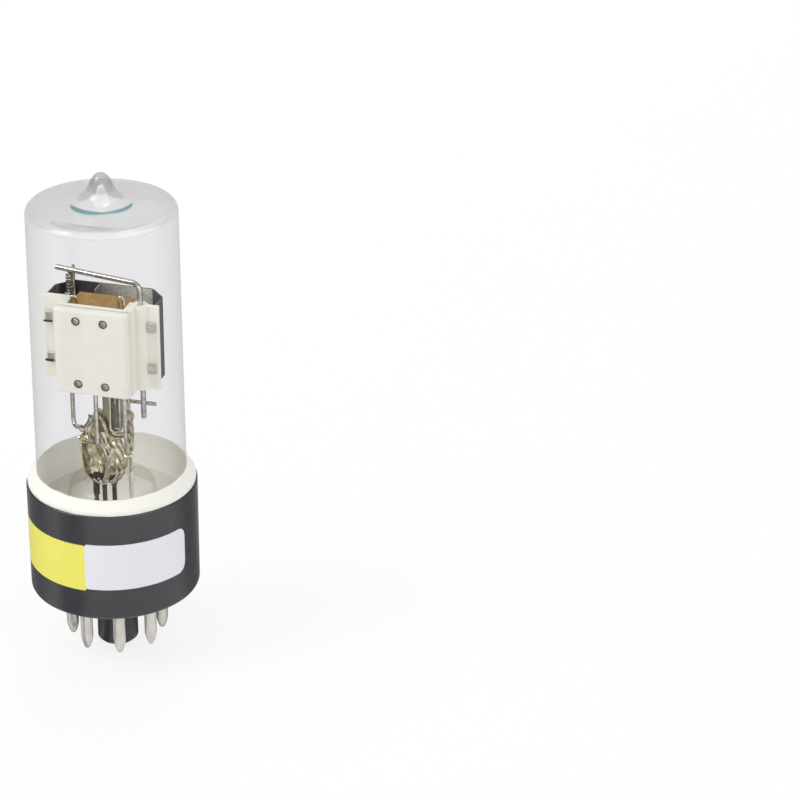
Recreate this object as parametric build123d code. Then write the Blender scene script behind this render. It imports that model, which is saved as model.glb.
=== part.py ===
from build123d import *
import math
import os

# Deuterium lamp: a ceramic electrode box sealed in a glass bulb, cemented into an octal base.
# Millimetres. Z is the lamp axis, the light leaves towards +Y, and the guide post ends at Z = 0.

# Driving dimensions of the base
pin_count = 8
pin_circle = 17.45
pin_diameter = 2.36
pin_length = 11.5
pin_bore = 1.4
pin_head_diameter = 3.4
pin_head_height = 0.6
pin_seat_diameter = 2.6
pin_tip_length = 2.8
pin_tip_flat = 0.9
pin_tip_fullness = 0.62
pin_solder_length = 9.5
post_diameter = 7.92
post_length = 13.2
post_wall = 1.4
post_chamfer = 0.7
key_width = 1.6
key_proud = 1.1
key_tip_gap = 1.4
cement_gap = 0.9
base_height = 22.3
base_wall = 1.2
base_floor = 3.0
base_foot_round = 0.8
base_rim_round = 0.35

# Driving dimensions of the glass
bulb_foot_diameter = 28.6
bulb_top_diameter = 28.0
bulb_wall = 1.0
bulb_foot_depth = 6.4
bulb_shoulder = 56.2
bulb_corner = 2.4
bulb_crown = 0.7
tip_foot_radius = 5.6
tip_neck_radius = 2.2
tip_neck_height = 60.0
tip_height = 62.3
tip_bore_radius = 0.9
stem_top_diameter = 16.2
stem_thickness = 2.5
stem_skirt_height = 4.8
stem_round = 1.3
stem_flange = 1.6

# Driving dimensions of the cement
cement_bead_height = 2.6
cement_bead_setback = 0.35
cement_bed = 2.0
lead_clearance = 0.2

# Driving dimensions of the ceramic and sheet stack, seen along Y from the rear towards the light
ceramic_bottom_above_base = 21.25
ceramic_height = 16.9
rear_face = -8.6
rear_width = 14.4
rear_thickness = 1.8
ceramic_round = 0.9
backing_width = 13.6
backing_thickness = 0.35
backing_proud = 0.4
cavity_width = 11.2
cavity_depth = 3.85
wing_span = 22.8
wing_thickness = 0.8
wing_round = 0.35
body_depth = 4.5
web_depth = 7.9
web_drop = 0.9
floor_thickness = 0.8
arc_bore = 3.0
rivet_spacing_x = 5.3
rivet_inset_z = 2.1
rivet_diameter = 1.7
rivet_recess = 0.4
rivet_head_diameter = 2.4
rivet_head_height = 0.5
cover_thickness = 0.25
cover_clearance = 0.1
aperture_width = 8.6
aperture_height = 13.0
aperture_thickness = 0.25
aperture_bore = 1.0
anode_width = 5.6
anode_height = 8.0
anode_thickness = 0.4

# Driving dimensions of the folded shield
shield_width = 21.3
shield_front_width = 15.4
shield_side_end = 2.0
shield_front = 5.15
shield_thickness = 0.2
shield_bottom_inset = 1.0
shield_top_inset = 0.0
window_width = 5.4
window_height = 8.0
window_round = 1.2
tab_height = 1.7
tab_spacing = 8.4
tab_leaf = 1.35
tab_clearance = 0.08
partition_place = -2.6
slit_width = 1.2
slit_height = 8.0

# Driving dimensions of rods, wires and ribbons
rod_diameter = 1.0
rod_place_x = 7.75
rod_boss_radius = 1.5
rod_behind_wing = 0.4
rod_hole_clearance = 0.05
rod_top_above_ceramic = 4.05
rod_lower_end = 6.5
rod_bend = 1.6
rod_reach = 17.6
rod_drift = 3.35
post_wire_diameter = 0.55
post_wire_place_x = -6.5
coil_wire_diameter = 0.2
coil_radius = 0.45
coil_pitch = 0.55
coil_turns = 6.5
lead_diameter = 0.85
sleeve_diameter = 1.2
stem_lead_diameter = 0.9
stem_lead_rise = 2.2
ribbon_thickness = 0.25
trough_thickness = 0.2
staple_wire = 0.4
staple_span = 1.1
staple_place_x = 4.7
staple_place_y = -4.0
bead_diameter = 1.9
bead_wire = 0.6
trough_foot_radius = 1.1
trough_radius = 1.9
trough_foot_height = 1.0
trough_waist_height = 5.5
trough_left_height = 10.4
trough_right_height = 9.8
centre_lead_end = 9.4
right_lead_turn = 11.5
right_lead_end = 8.0
cathode_bend_height = 9.4
cathode_arm = (2.75, -3.0, 1.6)
ribbon_end = 10.9
hairpin_left = 1.6
hairpin_right = 3.5
hairpin_end = 13.1
bead_height = 14.5
bead_lead_turn = 9.5
bead_lead_foot = 1.4

# Heights that follow from them
base_bottom = post_length
base_top = base_bottom + base_height
floor_top = base_bottom + base_floor
pin_tip = base_bottom - pin_length
bulb_foot_radius = bulb_foot_diameter / 2
shell_inner_radius = bulb_foot_radius + cement_gap
base_radius = shell_inner_radius + base_wall
bulb_top_radius = bulb_top_diameter / 2
bulb_foot_inner = bulb_foot_radius - bulb_wall
glass_foot = base_top - bulb_foot_depth
ceramic_bottom = base_top + ceramic_bottom_above_base
ceramic_top = ceramic_bottom + ceramic_height
ceramic_middle = (ceramic_bottom + ceramic_top) / 2
pin_bore_end = pin_tip + pin_solder_length

# Places along Y that follow from the stack
backing_rear = rear_face + rear_thickness
body_rear = backing_rear + backing_thickness
body_front = body_rear + body_depth
cavity_front = body_rear + cavity_depth
wing_rear = body_front - wing_thickness
web_front = body_rear + web_depth
aperture_front = web_front + aperture_thickness
rod_place_y = wing_rear + rod_behind_wing
web_top = ceramic_top - web_drop
wing_front = body_front
shield_bottom = ceramic_bottom + shield_bottom_inset
shield_top = ceramic_top - shield_top_inset
anode_rear = body_rear + 1.9
anode_front = anode_rear + anode_thickness

# Places of the rods and leads under and beside the ceramic
rod_top = ceramic_top + rod_top_above_ceramic
rod_tip_x = rod_place_x - rod_reach
rod_tip_y = rod_place_y + rod_drift
centre_lead_place = (-0.75, anode_rear - lead_diameter / 2)
right_lead_place = (4.95, anode_rear - lead_diameter / 2)
cathode_lead_place = (-7.75, 0.9)
coil_place = (-7.45, 1.1)
coil_bottom = ceramic_top - 0.75
ribbon_y = -2.6
hairpin_y = -3.65
bead_x = 4.75
bead_y = -2.22
trough_offset = trough_foot_radius - trough_thickness - stem_lead_diameter / 2 - 0.02

# The leads through the stem: place at the stem and the pin that each one feeds
stem_leads = {
    "stem_lead_left": ((-2.1, -3.1), 7),
    "stem_lead_middle": ((-0.2, -3.6), 0),
    "stem_lead_right": ((1.7, -3.4), 1),
    "stem_lead_side": ((4.2, -0.8), 2),
}


def pin_place(index):
    # Pins stand half a step either side of the -Y line, so the key falls between two of them
    angle = math.radians(-90 + (index + 0.5) * 360 / pin_count)
    return (pin_circle / 2 * math.cos(angle), pin_circle / 2 * math.sin(angle))


def rounded_face(corners):
    # A closed outline whose corners are given as x, y and rounding radius
    face = make_face(Polyline(*[(x, y) for x, y, r in corners], close=True))
    for x, y, radius in corners:
        if radius > 0:
            corner = face.vertices().sort_by_distance((x, y))[0]
            face = fillet(corner, radius)
    return face


def turned(corners):
    # A turned solid from its half section, given as radius, height and rounding radius
    return revolve(Plane.XZ * rounded_face(corners), Axis.Z)


def slab(x_range, y_range, z_range):
    # A block between two limits along each axis
    size = [high - low for low, high in (x_range, y_range, z_range)]
    middle = [(high + low) / 2 for low, high in (x_range, y_range, z_range)]
    return Pos(*middle) * Box(*size)


def mirrored_pair(piece):
    return piece + mirror(piece, about=Plane.YZ)


def bar_y(x, z, y_range, radius):
    # A round bar or bore that runs along Y
    length = y_range[1] - y_range[0]
    return Pos(x, y_range[0] + length / 2, z) * Rot(90, 0, 0) * Cylinder(radius, length)


def bar_z(x, y, z_range, radius):
    # A round bar or bore that runs along Z
    length = z_range[1] - z_range[0]
    return Pos(x, y, z_range[0] + length / 2) * Cylinder(radius, length)


def wire(points, diameter, bend):
    # A round wire along straight stretches with bends of one radius
    path = FilletPolyline(*points, radius=bend)
    section = Plane(origin=path @ 0, z_dir=path % 0) * Circle(diameter / 2)
    return sweep(section, path)


def strip(path, across, width, thickness):
    # A flat strip along a plane path, with its width across that plane
    section = Plane(origin=path @ 0, x_dir=across, z_dir=path % 0) * Rectangle(width, thickness)
    return sweep(section, path)


def trough(levels, thickness, opening):
    # A tapering trough of bent ribbon, from x, y, z and radius at each level, open towards -Y
    faces = []
    for x, y, z, radius in levels:
        ring = Circle(radius) - Circle(radius - thickness)
        mouth = Pos(0, -radius) * Rectangle(2 * radius * opening, 2 * radius)
        faces.append(Plane(origin=(x, y, z)) * (ring - mouth))
    return loft(faces)


# Base shell with its guide post, moulded in one piece
def base_shell():
    post_radius = post_diameter / 2
    bore = post_radius - post_wall
    shell = turned([
        (0, 0, 0),
        (post_radius - post_chamfer, 0, 0),
        (post_radius, post_chamfer, 0),
        (post_radius, base_bottom, 0.5),
        (base_radius, base_bottom, base_foot_round),
        (base_radius, base_top, base_rim_round),
        (shell_inner_radius, base_top, 0),
        (shell_inner_radius, floor_top, 1.0),
        (bore, floor_top, 0),
        (bore, post_wall, 0.5),
        (0, post_wall, 0),
    ])
    key_outer = post_radius + key_proud
    key = slab(
        (-key_width / 2, key_width / 2),
        (post_radius - 0.5, key_outer),
        (key_tip_gap, base_bottom + 0.5),
    )
    key = chamfer(key.edges().group_by(Axis.Z)[0].sort_by(Axis.Y)[-1], key_proud * 0.7)
    shell += key
    for index in range(pin_count):
        x, y = pin_place(index)
        shell -= bar_z(x, y, (base_bottom - 1, floor_top + 1), pin_seat_diameter / 2)
    return shell


# One contact pin: a seat through the floor, a head, a bore for its lead, and a bullet end filled with solder
def contact_pin(index):
    radius = pin_diameter / 2
    bore = pin_bore / 2
    tip_side = pin_tip + pin_tip_length
    top = floor_top + pin_head_height
    flat = pin_tip_flat / 2
    middle = (flat + (radius - flat) * pin_tip_fullness, pin_tip + 0.4 * pin_tip_length)
    outline = Line((0, pin_tip), (flat, pin_tip))
    nose = ThreePointArc((flat, pin_tip), middle, (radius, tip_side))
    side = Polyline(
        (radius, tip_side),
        (radius, base_bottom),
        (pin_seat_diameter / 2, base_bottom),
        (pin_seat_diameter / 2, floor_top),
        (pin_head_diameter / 2, floor_top),
        (pin_head_diameter / 2, top),
        (bore, top),
        (bore, pin_bore_end),
        (0, pin_bore_end),
        (0, pin_tip),
    )
    pin = revolve(Plane.XZ * make_face([outline, nose, side]), Axis.Z)
    x, y = pin_place(index)
    return Pos(x, y, 0) * pin


# Glass bulb: a slightly tapered tube, a flat crown and the sealed tip
def glass_bulb():
    shoulder = base_top + bulb_shoulder
    crown = shoulder + bulb_crown
    corner_foot = shoulder - bulb_corner
    outer = [
        Line((bulb_foot_radius, glass_foot), (bulb_foot_radius, base_top)),
        Line((bulb_foot_radius, base_top), (bulb_top_radius, corner_foot)),
        TangentArc((bulb_top_radius, corner_foot), (bulb_top_radius - bulb_corner, shoulder), tangent=(0, 1)),
        Line((bulb_top_radius - bulb_corner, shoulder), (tip_foot_radius, crown)),
        Spline(
            (tip_foot_radius, crown),
            (tip_neck_radius, base_top + tip_neck_height),
            (0, base_top + tip_height),
            tangents=[(-1, 0.1), (-1, 0)],
        ),
    ]
    inner_corner = bulb_corner - bulb_wall
    inner_top = bulb_top_radius - bulb_wall
    inner_neck = shoulder + bulb_crown + 2.4
    inner = [
        Line((0, base_top + tip_height), (0, inner_neck)),
        Spline(
            (0, inner_neck),
            (tip_bore_radius, crown + 0.9),
            (tip_foot_radius, crown - bulb_wall),
            tangents=[(1, 0), (1, -0.1)],
        ),
        Line((tip_foot_radius, crown - bulb_wall), (inner_top - inner_corner, shoulder - bulb_wall)),
        TangentArc(
            (inner_top - inner_corner, shoulder - bulb_wall),
            (inner_top, corner_foot),
            tangent=(1, 0),
        ),
        Line((inner_top, corner_foot), (bulb_foot_inner, base_top)),
        Line((bulb_foot_inner, base_top), (bulb_foot_inner, glass_foot)),
        Line((bulb_foot_inner, glass_foot), (bulb_foot_radius, glass_foot)),
    ]
    return revolve(Plane.XZ * make_face(outer + inner), Axis.Z)


# Stem: the domed inner foot of the bulb that carries the leads, fused to the bulb at its flange
def stem_glass():
    radius = stem_top_diameter / 2
    skirt_foot = base_top - stem_skirt_height
    flange_top = glass_foot + stem_flange
    stem = turned([
        (0, base_top, 0),
        (radius, base_top, stem_round),
        (radius + 0.2, skirt_foot, 1.0),
        (bulb_foot_inner, flange_top, 0),
        (bulb_foot_inner, glass_foot, 0),
        (radius - 0.6, glass_foot, 0.9),
        (radius - 1.6, base_top - stem_thickness, 0.8),
        (0, base_top - stem_thickness, 0),
    ])
    for place, pin in stem_leads.values():
        x, y = place
        stem -= bar_z(x, y, (glass_foot - 1, base_top + 1), stem_lead_diameter / 2)
    return stem


# Cement: a collar round the glass with a rounded bead on the rim, and a bed under the stem
def basing_cement():
    bead_radius = base_radius - cement_bead_setback
    bed_bottom = glass_foot - cement_bed
    top = base_top + cement_bead_height
    slope = (bulb_foot_radius - bulb_top_radius) / (bulb_shoulder - bulb_corner)
    glass_radius_at_top = bulb_foot_radius - slope * cement_bead_height
    outline = [
        Polyline(
            (0, bed_bottom),
            (shell_inner_radius, bed_bottom),
            (shell_inner_radius, base_top),
            (bead_radius, base_top),
            (bead_radius, base_top + 0.6),
        ),
        ThreePointArc(
            (bead_radius, base_top + 0.6),
            (bead_radius - 0.5, base_top + 0.7 * cement_bead_height),
            (glass_radius_at_top + 0.25, top),
        ),
        Polyline(
            (glass_radius_at_top + 0.25, top),
            (glass_radius_at_top, top),
            (bulb_foot_radius, base_top),
            (bulb_foot_radius, glass_foot),
            (0, glass_foot),
            (0, bed_bottom),
        ),
    ]
    cement = revolve(Plane.XZ * make_face(outline), Axis.Z)
    for place, pin in stem_leads.values():
        x, y = place
        cement -= bar_z(x, y, (bed_bottom - 1, glass_foot + 1), stem_lead_diameter / 2 + lead_clearance)
    return cement


# One lead from above the stem, through the glass and the base, to the closed end of its pin
def stem_lead(place, pin):
    x, y = place
    pin_x, pin_y = pin_place(pin)
    turn = glass_foot - cement_bed - 2.6
    entry = floor_top + pin_head_height + 2.4
    points = [
        (x, y, base_top + stem_lead_rise),
        (x, y, turn),
        (pin_x, pin_y, entry),
        (pin_x, pin_y, pin_bore_end),
    ]
    return wire(points, stem_lead_diameter, 1.2)


# Rear ceramic plate with four recessed rivet holes
def rear_insulator():
    half = rear_width / 2
    plate = slab((-half, half), (rear_face, backing_rear), (ceramic_bottom, ceramic_top))
    rear_edges = plate.edges().filter_by(Axis.Z).group_by(Axis.Y)[0]
    plate = fillet(rear_edges, ceramic_round)
    rims = plate.edges().group_by(Axis.Z)[0] + plate.edges().group_by(Axis.Z)[-1]
    plate = fillet(rims.group_by(Axis.Y)[0], 0.4)
    for x, z in rivet_places():
        plate -= bar_y(x, z, (rear_face - 1, backing_rear + 1), rivet_diameter / 2)
    return plate


def rivet_places():
    return [
        (side * rivet_spacing_x / 2, z)
        for side in (-1, 1)
        for z in (ceramic_bottom + rivet_inset_z, ceramic_top - rivet_inset_z)
    ]


# Bright sheet behind the rear plate, standing a little above the ceramic
def anode_backing():
    half = backing_width / 2
    top = ceramic_top + backing_proud
    sheet = slab((-half, half), (backing_rear, body_rear), (ceramic_bottom, top))
    for x, z in rivet_places():
        sheet -= bar_y(x, z, (backing_rear - 1, body_rear + 1), rivet_diameter / 2)
    return sheet


# Four rivets with their heads inside the cavity
def rear_rivets():
    rivets = []
    for x, z in rivet_places():
        shank = bar_y(x, z, (rear_face + rivet_recess, body_rear), rivet_diameter / 2)
        head = bar_y(x, z, (body_rear, body_rear + rivet_head_height), rivet_head_diameter / 2)
        rivets.append(shank + head)
    return Compound(children=rivets)


# Main ceramic body: side walls, wings, web with the arc bore, floor, and the boss for the rod
def spacer_insulator():
    half = rear_width / 2
    full = (ceramic_bottom, ceramic_top)
    body = slab((-half, half), (body_rear, body_front), full)
    wings = slab((-wing_span / 2, wing_span / 2), (wing_rear, body_front), full)
    outer = wings.edges().filter_by(Axis.Z)
    wings = fillet(outer, wing_round)
    web = slab((-cavity_width / 2, cavity_width / 2), (cavity_front, web_front), (ceramic_bottom, web_top))
    boss = bar_z(rod_place_x, rod_place_y, full, rod_boss_radius)
    part = body + wings + boss
    part -= slab(
        (-cavity_width / 2, cavity_width / 2),
        (body_rear - 1, cavity_front),
        (ceramic_bottom + floor_thickness, ceramic_top + 1),
    )
    part -= slab(
        (-cavity_width / 2, cavity_width / 2),
        (body_rear - 1, body_front + 1),
        (web_top, ceramic_top + 1),
    )
    part += web
    part -= bar_y(0, ceramic_middle, (cavity_front - 1, web_front + 1), arc_bore / 2)
    rod_hole = rod_diameter / 2 + rod_hole_clearance
    part -= bar_z(rod_place_x, rod_place_y, (ceramic_bottom - 1, ceramic_top + 1), rod_hole)
    for x, y in (centre_lead_place, right_lead_place):
        part -= bar_z(x, y, (ceramic_bottom - 1, ceramic_bottom + floor_thickness + 1), lead_diameter / 2)
    slot_half = tab_height / 2 + tab_clearance
    side = shield_width / 2
    for z in tab_levels():
        slot = slab(
            (side - shield_thickness - tab_clearance, side + tab_clearance),
            (wing_rear - 1, body_front + 1),
            (z - slot_half, z + slot_half),
        )
        part -= mirrored_pair(slot)
    return part


def tab_levels():
    return (ceramic_middle - tab_spacing / 2, ceramic_middle + tab_spacing / 2)


# Heat-tinted sheet that lies on the web and closes the top of the cavity
def cover_plate():
    half = cavity_width / 2 - cover_clearance
    plate = slab(
        (-half, half),
        (body_rear + cover_clearance, web_front),
        (web_top, web_top + cover_thickness),
    )
    for x, y in staple_feet():
        plate -= bar_z(x, y, (web_top - 1, web_top + 1), staple_wire / 2 + 0.03)
    return plate


def staple_feet():
    return [
        (side * staple_place_x + foot * staple_span / 2, staple_place_y)
        for side in (-1, 1)
        for foot in (-1, 1)
    ]


# Wire staple that stands on the cover plate, with its feet through the plate
def cover_staple(x, height):
    foot = web_top - 0.8
    top = web_top + cover_thickness + height
    half = staple_span / 2
    points = [
        (x - half, staple_place_y, foot),
        (x - half, staple_place_y, top),
        (x + half, staple_place_y, top),
        (x + half, staple_place_y, foot),
    ]
    return wire(points, staple_wire, 0.45)


# Anode plate in the cavity, carried by the centre lead
def anode():
    half = anode_width / 2
    plate = slab(
        (-half, half),
        (anode_rear, anode_front),
        (ceramic_middle - anode_height / 2, ceramic_middle + anode_height / 2),
    )
    return fillet(plate.edges().filter_by(Axis.Y), 0.6)


# Sheet on the light side of the web with the dished aperture
def aperture_plate():
    half = aperture_width / 2
    plate = slab(
        (-half, half),
        (web_front, aperture_front),
        (ceramic_middle - aperture_height / 2, ceramic_middle + aperture_height / 2),
    )
    plate = fillet(plate.edges().filter_by(Axis.Y), 0.8)
    dish = Pos(0, aperture_front, ceramic_middle) * Rot(-90, 0, 0) * Cone(aperture_bore / 2, 1.1, 0.36)
    plate -= dish
    return plate - bar_y(0, ceramic_middle, (web_front - 1, aperture_front + 1), aperture_bore / 2)


# Folded shield box round the light side, with its window and four bent tabs
def shield_box():
    half = shield_width / 2
    front_half = shield_front_width / 2
    outline = [
        (-half, wing_front - 2, 0),
        (-half, shield_side_end, 0.5),
        (-front_half, shield_front, 0.5),
        (front_half, shield_front, 0.5),
        (half, shield_side_end, 0.5),
        (half, wing_front - 2, 0),
    ]
    face = rounded_face(outline)
    inside = offset(face, -shield_thickness)
    height = shield_top - shield_bottom
    wall = Pos(0, 0, shield_bottom) * extrude(face - inside, height)
    wall -= slab((-half - 1, half + 1), (wing_front - 3, wing_front), (shield_bottom - 1, shield_top + 1))
    window = extrude(RectangleRounded(window_width, window_height, window_round), 2, both=True)
    wall -= Pos(0, shield_front, ceramic_middle) * Rot(90, 0, 0) * window
    leaf_rear = wing_rear - shield_thickness
    for z in tab_levels():
        levels = (z - tab_height / 2, z + tab_height / 2)
        neck = slab((half - shield_thickness, half), (leaf_rear, wing_front + 0.5), levels)
        leaf = slab((half - tab_leaf, half), (leaf_rear, wing_rear), levels)
        wall += mirrored_pair(neck + leaf)
    return wall


# Partition with the slit, between the cathode side and the light path
def slit_partition():
    thickness = shield_thickness
    wall = slab(
        (partition_place - thickness / 2, partition_place + thickness / 2),
        (aperture_front, shield_front - thickness),
        (shield_bottom, shield_top),
    )
    middle = (aperture_front + shield_front) / 2
    slit = slab(
        (partition_place - 1, partition_place + 1),
        (middle - slit_width / 2, middle + slit_width / 2),
        (ceramic_middle - slit_height / 2, ceramic_middle + slit_height / 2),
    )
    return wall - slit


# Bent rod over the top of the box, down through the boss and out below
def support_rod():
    points = [
        (rod_tip_x, rod_tip_y, rod_top),
        (rod_place_x, rod_place_y, rod_top),
        (rod_place_x, rod_place_y, ceramic_bottom - rod_lower_end),
    ]
    rod = wire(points, rod_diameter, rod_bend)
    ends = rod.edges().filter_by(GeomType.CIRCLE).group_by(Axis.Z)[0]
    return fillet(ends, rod_diameter * 0.35)


# Short cross wire behind the lower end of the rod
def cross_wire():
    diameter = 0.75
    y = rod_place_y + (rod_diameter + diameter) / 2
    z = ceramic_bottom - 3.7
    path = Rot(0, 90, 0) * Cylinder(diameter / 2, 5.7)
    return Pos(rod_place_x - 0.75, y, z) * path


# Post wire behind the rod that is anchored against the web
def post_wire():
    slope = (rod_tip_y - rod_place_y) / (rod_tip_x - rod_place_x)
    rod_y = rod_place_y + slope * (post_wire_place_x - rod_place_x)
    y = rod_y + (rod_diameter + post_wire_diameter) / 2
    low = ceramic_top - 3.2
    points = [
        (post_wire_place_x, y, rod_top + 0.75),
        (post_wire_place_x, y, low),
        (-cavity_width / 2, y, low),
    ]
    return wire(points, post_wire_diameter, 0.4)


# Coiled filament wire between the rod and its lead sleeve
def cathode_coil():
    x, y = coil_place
    height = coil_pitch * coil_turns
    start = Helix(coil_pitch, height, coil_radius)
    section = Plane(origin=start @ 0, z_dir=start % 0) * RegularPolygon(coil_wire_diameter / 2, 6)
    coil = sweep(section, start, is_frenet=True)
    coil = Pos(x, y, coil_bottom) * coil
    lower = start @ 0
    upper = start @ 1
    half = coil_wire_diameter / 2
    tail_low = bar_z(x + lower.X, y + lower.Y, (coil_bottom - 0.5, coil_bottom + 0.02), half)
    tail_top = bar_z(x + upper.X, y + upper.Y, (coil_bottom + height - 0.02, rod_top - 0.55), half)
    return coil + tail_low + tail_top


# Crimped sleeve under the coil, closed round the end of the cathode lead
def cathode_sleeve():
    x, y = cathode_lead_place
    top = coil_bottom - 0.3
    sleeve = bar_z(x, y, (top - 4.4, top), sleeve_diameter / 2)
    return sleeve - bar_z(x, y, (top - 5, top - 1.0), lead_diameter / 2)


# Cathode lead: straight down beside the box, then a bend towards the left trough
def cathode_lead():
    x, y = cathode_lead_place
    top = coil_bottom - 1.3
    low = base_top + cathode_bend_height
    points = [(x, y, top), (x, y, low), (x + cathode_arm[0], y + cathode_arm[1], low + cathode_arm[2])]
    return wire(points, lead_diameter, 1.2)


# Centre lead: from the back of the anode, through the floor, to the lip of the left trough
def centre_lead():
    x, y = centre_lead_place
    return bar_z(x, y, (base_top + centre_lead_end, ceramic_middle + anode_height / 4), lead_diameter / 2)


# Right lead: from the floor of the ceramic down to the right trough
def right_lead():
    x, y = right_lead_place
    points = [
        (x, y, ceramic_bottom + floor_thickness),
        (x, y, base_top + right_lead_turn),
        (x - 0.05, y + 1.0, base_top + right_lead_end),
    ]
    return wire(points, lead_diameter, 1.5)


# Flat ribbon that hangs from the web, with its face to the rear
def wide_ribbon():
    path = Line((0.75, ribbon_y, ceramic_bottom), (0.75, ribbon_y, base_top + ribbon_end))
    return strip(path, (1, 0, 0), 2.1, ribbon_thickness)


# Narrow ribbon that waves down from the wide one to the back of the middle stem lead
def fold_ribbon():
    (x, y), pin = stem_leads["stem_lead_middle"]
    foot = y + (stem_lead_diameter + ribbon_thickness) / 2 + 0.03
    path = Spline(
        (x, ribbon_y, base_top + ribbon_end - 0.1),
        (x, ribbon_y - 0.7, base_top + ribbon_end - 2.4),
        (x, ribbon_y + 0.2, base_top + trough_waist_height),
        (x, foot, base_top + stem_lead_rise + 0.2),
        (x, foot, base_top + trough_foot_height),
    )
    return strip(path, (1, 0, 0), 0.9, ribbon_thickness)


# Hairpin strip under the floor, bent round at its lower end
def hairpin_strip():
    low = base_top + hairpin_end
    path = FilletPolyline(
        (hairpin_left, hairpin_y, ceramic_bottom),
        (hairpin_left, hairpin_y, low),
        (hairpin_right, hairpin_y, low),
        (hairpin_right, hairpin_y, ceramic_bottom),
        radius=0.93,
    )
    return strip(path, (0, 1, 0), 1.4, ribbon_thickness)


# Waved strip that links the cathode lead and the right lead under the hairpin
def wave_strip():
    points = [
        (-4.4, 11.0),
        (-3.4, 12.9),
        (-2.2, 15.2),
        (-1.1, 15.4),
        (-0.2, 14.0),
        (0.8, 11.5),
        (2.3, 10.8),
        (4.5, 12.3),
    ]
    path = Spline(*[(x, hairpin_y, base_top + z) for x, z in points])
    return strip(path, (0, 1, 0), 1.2, ribbon_thickness)


# Two troughs of bent nickel ribbon that gather the leads onto the stem leads
def trough_left():
    (x, y), pin = stem_leads["stem_lead_left"]
    return trough(
        [
            (x, y - trough_offset, base_top + trough_foot_height, trough_foot_radius),
            (-2.7, -3.3, base_top + trough_waist_height, trough_radius),
            (-2.6, -3.4, base_top + trough_left_height, trough_radius),
        ],
        trough_thickness,
        0.72,
    )


def trough_right():
    (x, y), pin = stem_leads["stem_lead_right"]
    return trough(
        [
            (x, y - trough_offset, base_top + trough_foot_height, trough_foot_radius),
            (2.5, -3.2, base_top + trough_waist_height, trough_radius),
            (2.5, -3.1, base_top + trough_right_height, trough_radius),
        ],
        trough_thickness,
        0.55,
    )


# Lead with the ceramic bead, from the web down onto the side stem lead
def bead_lead():
    (x, y), pin = stem_leads["stem_lead_side"]
    points = [
        (bead_x, bead_y, ceramic_bottom),
        (bead_x, bead_y, base_top + bead_lead_turn),
        (x, y, base_top + stem_lead_rise + bead_lead_foot),
        (x, y, base_top + stem_lead_rise),
    ]
    return wire(points, bead_wire, 0.8)


def lead_bead():
    middle = base_top + bead_height
    bead = Pos(bead_x, bead_y, middle) * Sphere(bead_diameter / 2)
    return bead - bar_z(bead_x, bead_y, (middle - bead_diameter, middle + bead_diameter), bead_wire / 2)


nodes = {
    "base_shell": base_shell(),
    "basing_cement": basing_cement(),
    "glass_bulb": glass_bulb(),
    "stem_glass": stem_glass(),
    "rear_insulator": rear_insulator(),
    "rear_rivets": rear_rivets(),
    "anode_backing": anode_backing(),
    "spacer_insulator": spacer_insulator(),
    "cover_plate": cover_plate(),
    "cover_staple_left": cover_staple(-staple_place_x, 1.4),
    "cover_staple_right": cover_staple(staple_place_x, 2.3),
    "anode": anode(),
    "aperture_plate": aperture_plate(),
    "shield_box": shield_box(),
    "slit_partition": slit_partition(),
    "support_rod": support_rod(),
    "cross_wire": cross_wire(),
    "post_wire": post_wire(),
    "cathode_coil": cathode_coil(),
    "cathode_sleeve": cathode_sleeve(),
    "cathode_lead": cathode_lead(),
    "centre_lead": centre_lead(),
    "right_lead": right_lead(),
    "wide_ribbon": wide_ribbon(),
    "fold_ribbon": fold_ribbon(),
    "hairpin_strip": hairpin_strip(),
    "wave_strip": wave_strip(),
    "trough_left": trough_left(),
    "trough_right": trough_right(),
    "bead_lead": bead_lead(),
    "lead_bead": lead_bead(),
}
for index in range(pin_count):
    nodes[f"contact_pin_{index + 1}"] = contact_pin(index)
for name, (place, pin) in stem_leads.items():
    nodes[name] = stem_lead(place, pin)

os.makedirs("parts", exist_ok=True)
for name, shape in nodes.items():
    export_step(shape, f"parts/{name}.step")
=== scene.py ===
import math
import bpy
import bmesh
from mathutils import Matrix, Vector, noise


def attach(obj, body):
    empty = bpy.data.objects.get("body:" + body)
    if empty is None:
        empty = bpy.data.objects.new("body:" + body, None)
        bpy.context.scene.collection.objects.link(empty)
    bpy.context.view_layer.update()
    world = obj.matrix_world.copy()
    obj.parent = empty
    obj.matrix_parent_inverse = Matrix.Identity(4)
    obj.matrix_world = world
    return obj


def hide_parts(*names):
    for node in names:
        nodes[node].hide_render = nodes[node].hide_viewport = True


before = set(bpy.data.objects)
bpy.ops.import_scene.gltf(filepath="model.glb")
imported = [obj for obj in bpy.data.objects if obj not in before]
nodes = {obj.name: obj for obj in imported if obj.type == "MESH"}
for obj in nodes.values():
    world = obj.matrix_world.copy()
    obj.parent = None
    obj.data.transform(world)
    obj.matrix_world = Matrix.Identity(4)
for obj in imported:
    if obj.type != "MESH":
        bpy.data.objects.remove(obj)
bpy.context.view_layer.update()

# The scene is in metres, and shapes are worked out in millimetres. Z is the lamp axis, the guide post ends
# at Z = 0, and the light leaves towards +Y.
mm = 0.001
print("frame loaded,", len(nodes), "pieces")


# shader kit

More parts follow.
